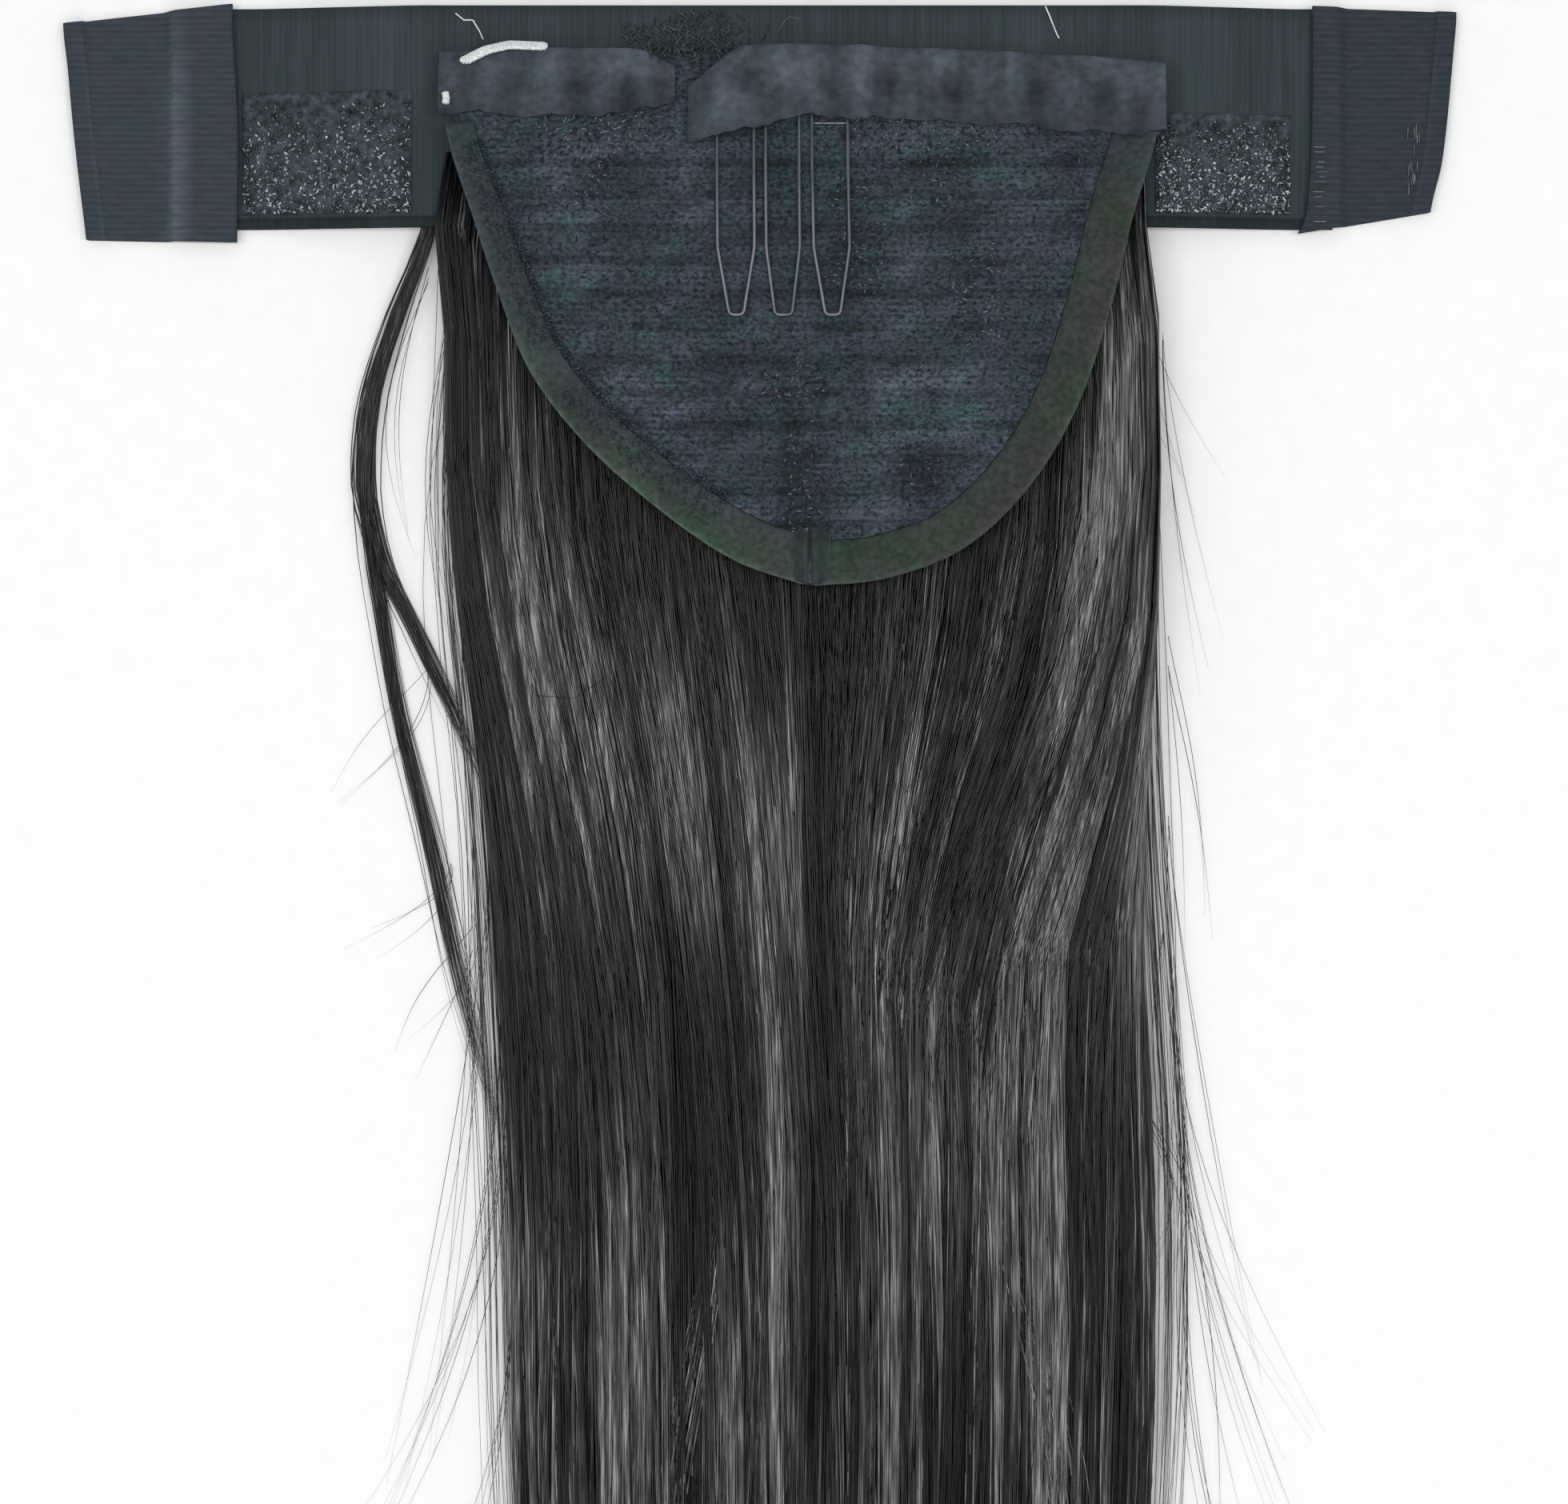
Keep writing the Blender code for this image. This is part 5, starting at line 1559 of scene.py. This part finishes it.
class HAIRPIECE_OT_ribbon_ends(bpy.types.Operator):
    """Makes the two cross-ribbed ribbon ends with hems and stitches."""

    bl_idname = "hairpiece.ribbon_ends"
    bl_label = "Ribbon ends"

    def execute(self, context):
        cloth = context.scene.hairpiece_cloth
        look = Look(900.0, (0.3, 1.2, 1.0), 0.26, 0.00012, RIB_PITCH, "Y", 0.24, 0.8)
        material = cloth_material("ribbon_grain", tuple(cloth.ribbon_colour), look)
        for ribbon in RIBBONS:
            piece = self.ribbon(ribbon, material)
            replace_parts(piece, "end_tab_" + ribbon.side)
        self.stitches()
        return {"FINISHED"}

    def stitches(self):
        """Pale sewing stitches across the inner edge and the worn tip of the right ribbon end."""
        rng = np.random.default_rng(SEED_STITCHES)
        shades = [(0.0, (0.05, 0.06, 0.065)), (1.0, (0.22, 0.25, 0.26))]
        material = toned_thread("ribbon_stitch_thread", (0.12, 0.14, 0.15), 0.6, 0.3, shades,
                                3000.0, 0.00005)
        run = np.linspace(-1.0, 1.0, 4)[None, :]
        across_down = np.arange(26.0, 40.0, 0.9)[:, None]
        across_x = 101.6 + rng.normal(0, 0.3, across_down.shape)
        across_x = across_x + rng.uniform(0.5, 1.2, across_down.shape) * run
        tip_x = rng.uniform(117.4, 120.4, (TIP_STITCHES, 1))
        tip_down = rng.uniform(21.0, 35.0, (TIP_STITCHES, 1))
        x = np.concatenate([across_x, tip_x + 0.0 * run])
        tip_down = tip_down + rng.uniform(0.5, 1.2, (TIP_STITCHES, 1)) * run
        down = np.concatenate([across_down + 0.0 * run, tip_down])
        z = np.where(x < 106.0, ON_STRAP + TAB_THICK + 0.08, TAB_THICK + 0.25)
        radii = np.full(x.shape, STITCH_RADIUS)
        tones = rng.uniform(0, 1, len(x))
        strands("ribbon_stitches", place(x, down, z), radii, tones, material)

    def ribbon(self, ribbon, material):
        """One ribbon end: hemmed at its tip, flat, then up a step onto the strap."""
        rings, tones = [], []
        first, last = ribbon.rows[0].down, ribbon.rows[-1].down
        rise = ribbon.strap_end + ribbon.turn * 0.5
        for down in np.linspace(first, last, 150):
            outer = ribbon.turn * (HALF_SPAN - max(float(read_table(ribbon.rows, down, "inset")), 0.0))
            inner = float(read_table(ribbon.rows, down, "inner_x"))
            hem = outer - ribbon.turn * HEM
            section = self.section(ribbon, down, outer, hem, rise, inner)
            lean = ribbon.upper_lean * (1 - float(smooth_step((down - first) / SLOPED)))
            lean -= ribbon.lower_lean * float(smooth_step((down - last + SLOPED) / SLOPED))
            rings.append([place(x, down + lean * (x - inner) / (outer - inner), z) for x, z in section])
            tone = []
            for x, _ in section:
                # Painted highlight along the fold where the end steps up onto the strap, fainter near the
                # top, and a pale line along the hem
                pale = ribbon.fold * math.exp(-((x - rise) / 1.9) ** 2)
                pale += 0.16 * math.exp(-((x - hem) / 0.5) ** 2)
                pale = pale * (0.35 + 0.65 * float(smooth_step((down - first) / 20.0)))
                tone.append(0.46 + pale - ribbon.darker)
            tones.append(tone)
        return loft("ribbon_end_" + ribbon.side, np.array(rings), material, np.array(tones))

    def section(self, ribbon, down, outer, hem, rise, inner):
        """The section from the tip over the hem and the step to the inner edge, and back below."""
        turn, thick = ribbon.turn, TAB_THICK
        foot = ribbon.strap_end + turn * 2.9
        hem_foot = hem - turn * 0.5
        top = [(outer, 0.3), (outer, 2 * thick - 0.3), (outer - turn * 0.6, 2 * thick)]
        top += [(outer + (hem - outer) * s, 2 * thick) for s in (0.4, 0.7, 0.95)]
        top += [(hem, 2 * thick - 0.3), (hem_foot, thick)]
        top += [(hem_foot + (foot - hem + turn * 0.5) * s, thick + 0.12 * math.sin(math.pi * s))
                for s in (0.2, 0.4, 0.6, 0.8, 1.0)]
        top += [(foot + (rise - foot) * s, thick + ON_STRAP * float(smooth_step(s)))
                for s in (0.3, 0.6, 1.0)]
        top += [(rise + (inner - rise) * s, ON_STRAP + thick) for s in (0.33, 0.66, 0.95)]
        top += [(inner, ON_STRAP + thick - 0.25)]
        low = [(inner, ON_STRAP), (rise, ON_STRAP), (foot - turn * 0.6, 0.02), (outer - turn * 0.5, 0.02)]
        rib = 0.04 * math.sin(2 * math.pi * down / RIB_PITCH)
        return [(x, z + (rib if z > thick * 0.9 else 0.0)) for x, z in top] + low


# The comb's wire: where it turns, its round corners, its thickness and its short top bar
TOOTH_DOWNS = (17.0, 30.0, 45.5, 57.6)
CORNER = 0.9
WIRE_RADIUS = 0.00036
WIRE_RISE = 0.75
BAR_DOWN = 22.9
BAR_RADIUS = 0.0003


class HAIRPIECE_OT_comb(bpy.types.Operator):
    """Makes the comb: one round wire bent into three teeth."""

    bl_idname = "hairpiece.comb"
    bl_label = "Wire comb"

    def execute(self, context):
        material = principled("comb_wire_steel", (0.16, 0.17, 0.19), 0.5, metallic=1.0)
        along = (1.0, 0.1, 1.0)
        finish(material, object_noise(material, 500.0, along),
               [(0.2, (0.09, 0.10, 0.12)), (0.8, (0.20, 0.21, 0.23))], 2600.0, 0.00003, along)
        route = self.route()
        centre = net_over(route[:, 0], route[:, 1]) + GAP + WIRE_RISE
        lines = place(route[:, 0], route[:, 1], centre)[None]
        count = lines.shape[1]
        radii, tones = np.full((1, count), WIRE_RADIUS), np.full((1, count), 0.5)
        piece = strands("comb_bent_wire", lines, radii, tones, material, sides=10)
        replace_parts(piece, "comb_wire")
        tooth = TEETH[-1]
        x = tooth.top_x + tooth.spread / 2 * np.linspace(-1.0, 1.0, 8)
        down = np.full(8, BAR_DOWN)
        bar = place(x, down, net_over(x, down) + GAP + WIRE_RISE)[None]
        radii, tones = np.full((1, 8), BAR_RADIUS), np.full((1, 8), 0.5)
        strands("comb_top_bar", bar, radii, tones, material, sides=8)
        return {"FINISHED"}

    def route(self):
        """The wire's way over the three teeth, with round corners."""
        corners = []
        for tooth in TEETH:
            for side in (-1, 1):
                leg = tooth.top_x + side * tooth.spread / 2
                foot = tooth.foot_x + side * tooth.foot / 2
                shoulder = leg + (tooth.foot_x - tooth.top_x) * 0.6
                half = list(zip((leg, leg, shoulder, foot), TOOTH_DOWNS))
                corners += half if side == -1 else half[::-1]
        route = [np.array(corners[0])]
        for before, here, after in zip(corners, corners[1:], corners[2:]):
            before, here, after = map(np.array, (before, here, after))
            enter = here + (before - here) / np.linalg.norm(before - here) * CORNER
            leave = here + (after - here) / np.linalg.norm(after - here) * CORNER
            for t in np.linspace(0.0, 1.0, 6):
                route.append(enter * (1 - t) ** 2 + 2 * here * t * (1 - t) + leave * t ** 2)
        route.append(np.array(corners[-1]))
        fine = [route[0]]
        for start, end in zip(route, route[1:]):
            steps = max(1, int(np.linalg.norm(end - start) / 1.5))
            fine += [start + (end - start) * (index + 1) / steps for index in range(steps)]
        return np.array(fine)


class HAIRPIECE_OT_threads(bpy.types.Operator):
    """Makes the white sewing threads left on the strap and the cap."""

    bl_idname = "hairpiece.threads"
    bl_label = "White threads"

    def execute(self, context):
        white = self.thread_material(
            "white_thread", (0.8, 0.82, 0.83), [(0.3, (0.50, 0.54, 0.55)), (0.7, (0.90, 0.92, 0.93))])
        grey = self.thread_material(
            "grey_thread", (0.14, 0.16, 0.17), [(0.3, (0.10, 0.12, 0.13)), (0.7, (0.17, 0.20, 0.21))])
        rows = table(
            "name points radius plies",
            ("white_thread_end", ((-52.9, 11.5), (-49.2, 9.6), (-44.9, 8.5), (-38.9, 8.8)), 0.42, 9),
            ("white_thread_zigzag", ((-54.9, 2.2), (-53.4, 3.4), (-51.8, 3.4), (-50.6, 5.4), (-49.9, 7.0)),
             0.14, 1),
            ("white_thread_right", ((51.6, 0.9), (52.6, 3.2), (54.0, 6.8)), 0.14, 1),
            ("white_stitch_dot", ((-56.3, 17.5), (-56.1, 18.5), (-56.2, 19.4)), 0.72, 1),
            ("fine_thread_arc", ((3.5, 5.0), (5.2, 2.8), (7.4, 3.2)), 0.05, 1),
        )
        for row in rows:
            self.thread(row, grey if row.name == "fine_thread_arc" else white)
        return {"FINISHED"}

    def thread_material(self, name, colour, stops):
        """Cotton thread, paler and darker along its twist."""
        material = principled(name, colour, 0.6)
        finish(material, object_noise(material, 2500.0), stops, 5000.0, 0.00008)
        return material

    def thread(self, row, material):
        """One thread, or several plies twisted together, lying on the strap or net."""
        points = np.array(row.points, float)
        part = np.linspace(0, len(points) - 1, 6 * len(points))
        x = np.interp(part, np.arange(len(points)), points[:, 0])
        down = np.interp(part, np.arange(len(points)), points[:, 1])
        strap_top = strap_under(x) + STRAP_THICK
        tape_top = net_over(x, down) + TAPE_THICK + 1.0
        base = strap_top + (tape_top - strap_top) * smooth_step((down - 5.5) / 4.0)
        lines = []
        for ply in range(row.plies):
            turn = part * 2.4 + 2 * math.pi * ply / row.plies
            off = 0.0 if row.plies == 1 else row.radius * 1.9
            lines.append(place(x + off * np.cos(turn), down + off * 0.6 * np.sin(turn),
                               base + row.radius + 0.15 + off * 0.6 * (1 + np.sin(turn))))
        lines = np.array(lines)
        radii = np.full(lines.shape[:2], row.radius * MM)
        strands(row.name, lines, radii, np.full(len(lines), 0.5), material, sides=6)


OPERATORS = (
    HAIRPIECE_OT_stage, HAIRPIECE_OT_hair, HAIRPIECE_OT_cap, HAIRPIECE_OT_binding, HAIRPIECE_OT_tapes,
    HAIRPIECE_OT_strap, HAIRPIECE_OT_pile, HAIRPIECE_OT_ribbon_ends, HAIRPIECE_OT_comb, HAIRPIECE_OT_threads,
)


class HAIRPIECE_PT_sidebar(bpy.types.Panel):
    """Lists the hairpiece's settings and operators."""

    bl_idname = "HAIRPIECE_PT_sidebar"
    bl_label = "Hairpiece"
    bl_space_type = "VIEW_3D"
    bl_region_type = "UI"
    bl_category = "Hairpiece"

    def draw(self, context):
        for name in ("hairpiece_hair", "hairpiece_cloth", "hairpiece_stage"):
            group = getattr(context.scene, name)
            box = self.layout.box()
            for key in group.bl_rna.properties.keys():
                if key not in ("rna_type", "name"):
                    box.prop(group, key)
        for operator in OPERATORS:
            self.layout.operator(operator.bl_idname)


def register():
    """Registers the settings, operators and panel."""
    for group in SETTING_GROUPS:
        bpy.utils.register_class(group)
    bpy.types.Scene.hairpiece_hair = bpy.props.PointerProperty(type=HAIRPIECE_PG_hair)
    bpy.types.Scene.hairpiece_cloth = bpy.props.PointerProperty(type=HAIRPIECE_PG_cloth)
    bpy.types.Scene.hairpiece_stage = bpy.props.PointerProperty(type=HAIRPIECE_PG_stage)
    for item in (*OPERATORS, HAIRPIECE_PT_sidebar):
        bpy.utils.register_class(item)


def unregister():
    """Removes what register added."""
    for item in (HAIRPIECE_PT_sidebar, *reversed(OPERATORS)):
        bpy.utils.unregister_class(item)
    del bpy.types.Scene.hairpiece_hair
    del bpy.types.Scene.hairpiece_cloth
    del bpy.types.Scene.hairpiece_stage
    for group in reversed(SETTING_GROUPS):
        bpy.utils.unregister_class(group)


def main():
    """Builds the whole dressed hairpiece."""
    register()
    bpy.ops.hairpiece.stage()
    bpy.ops.hairpiece.strap()
    bpy.ops.hairpiece.pile()
    bpy.ops.hairpiece.ribbon_ends()
    bpy.ops.hairpiece.cap()
    bpy.ops.hairpiece.binding()
    bpy.ops.hairpiece.tapes()
    bpy.ops.hairpiece.comb()
    bpy.ops.hairpiece.hair()
    bpy.ops.hairpiece.threads()
    bpy.context.view_layer.update()


if __name__ == "__main__":
    main()
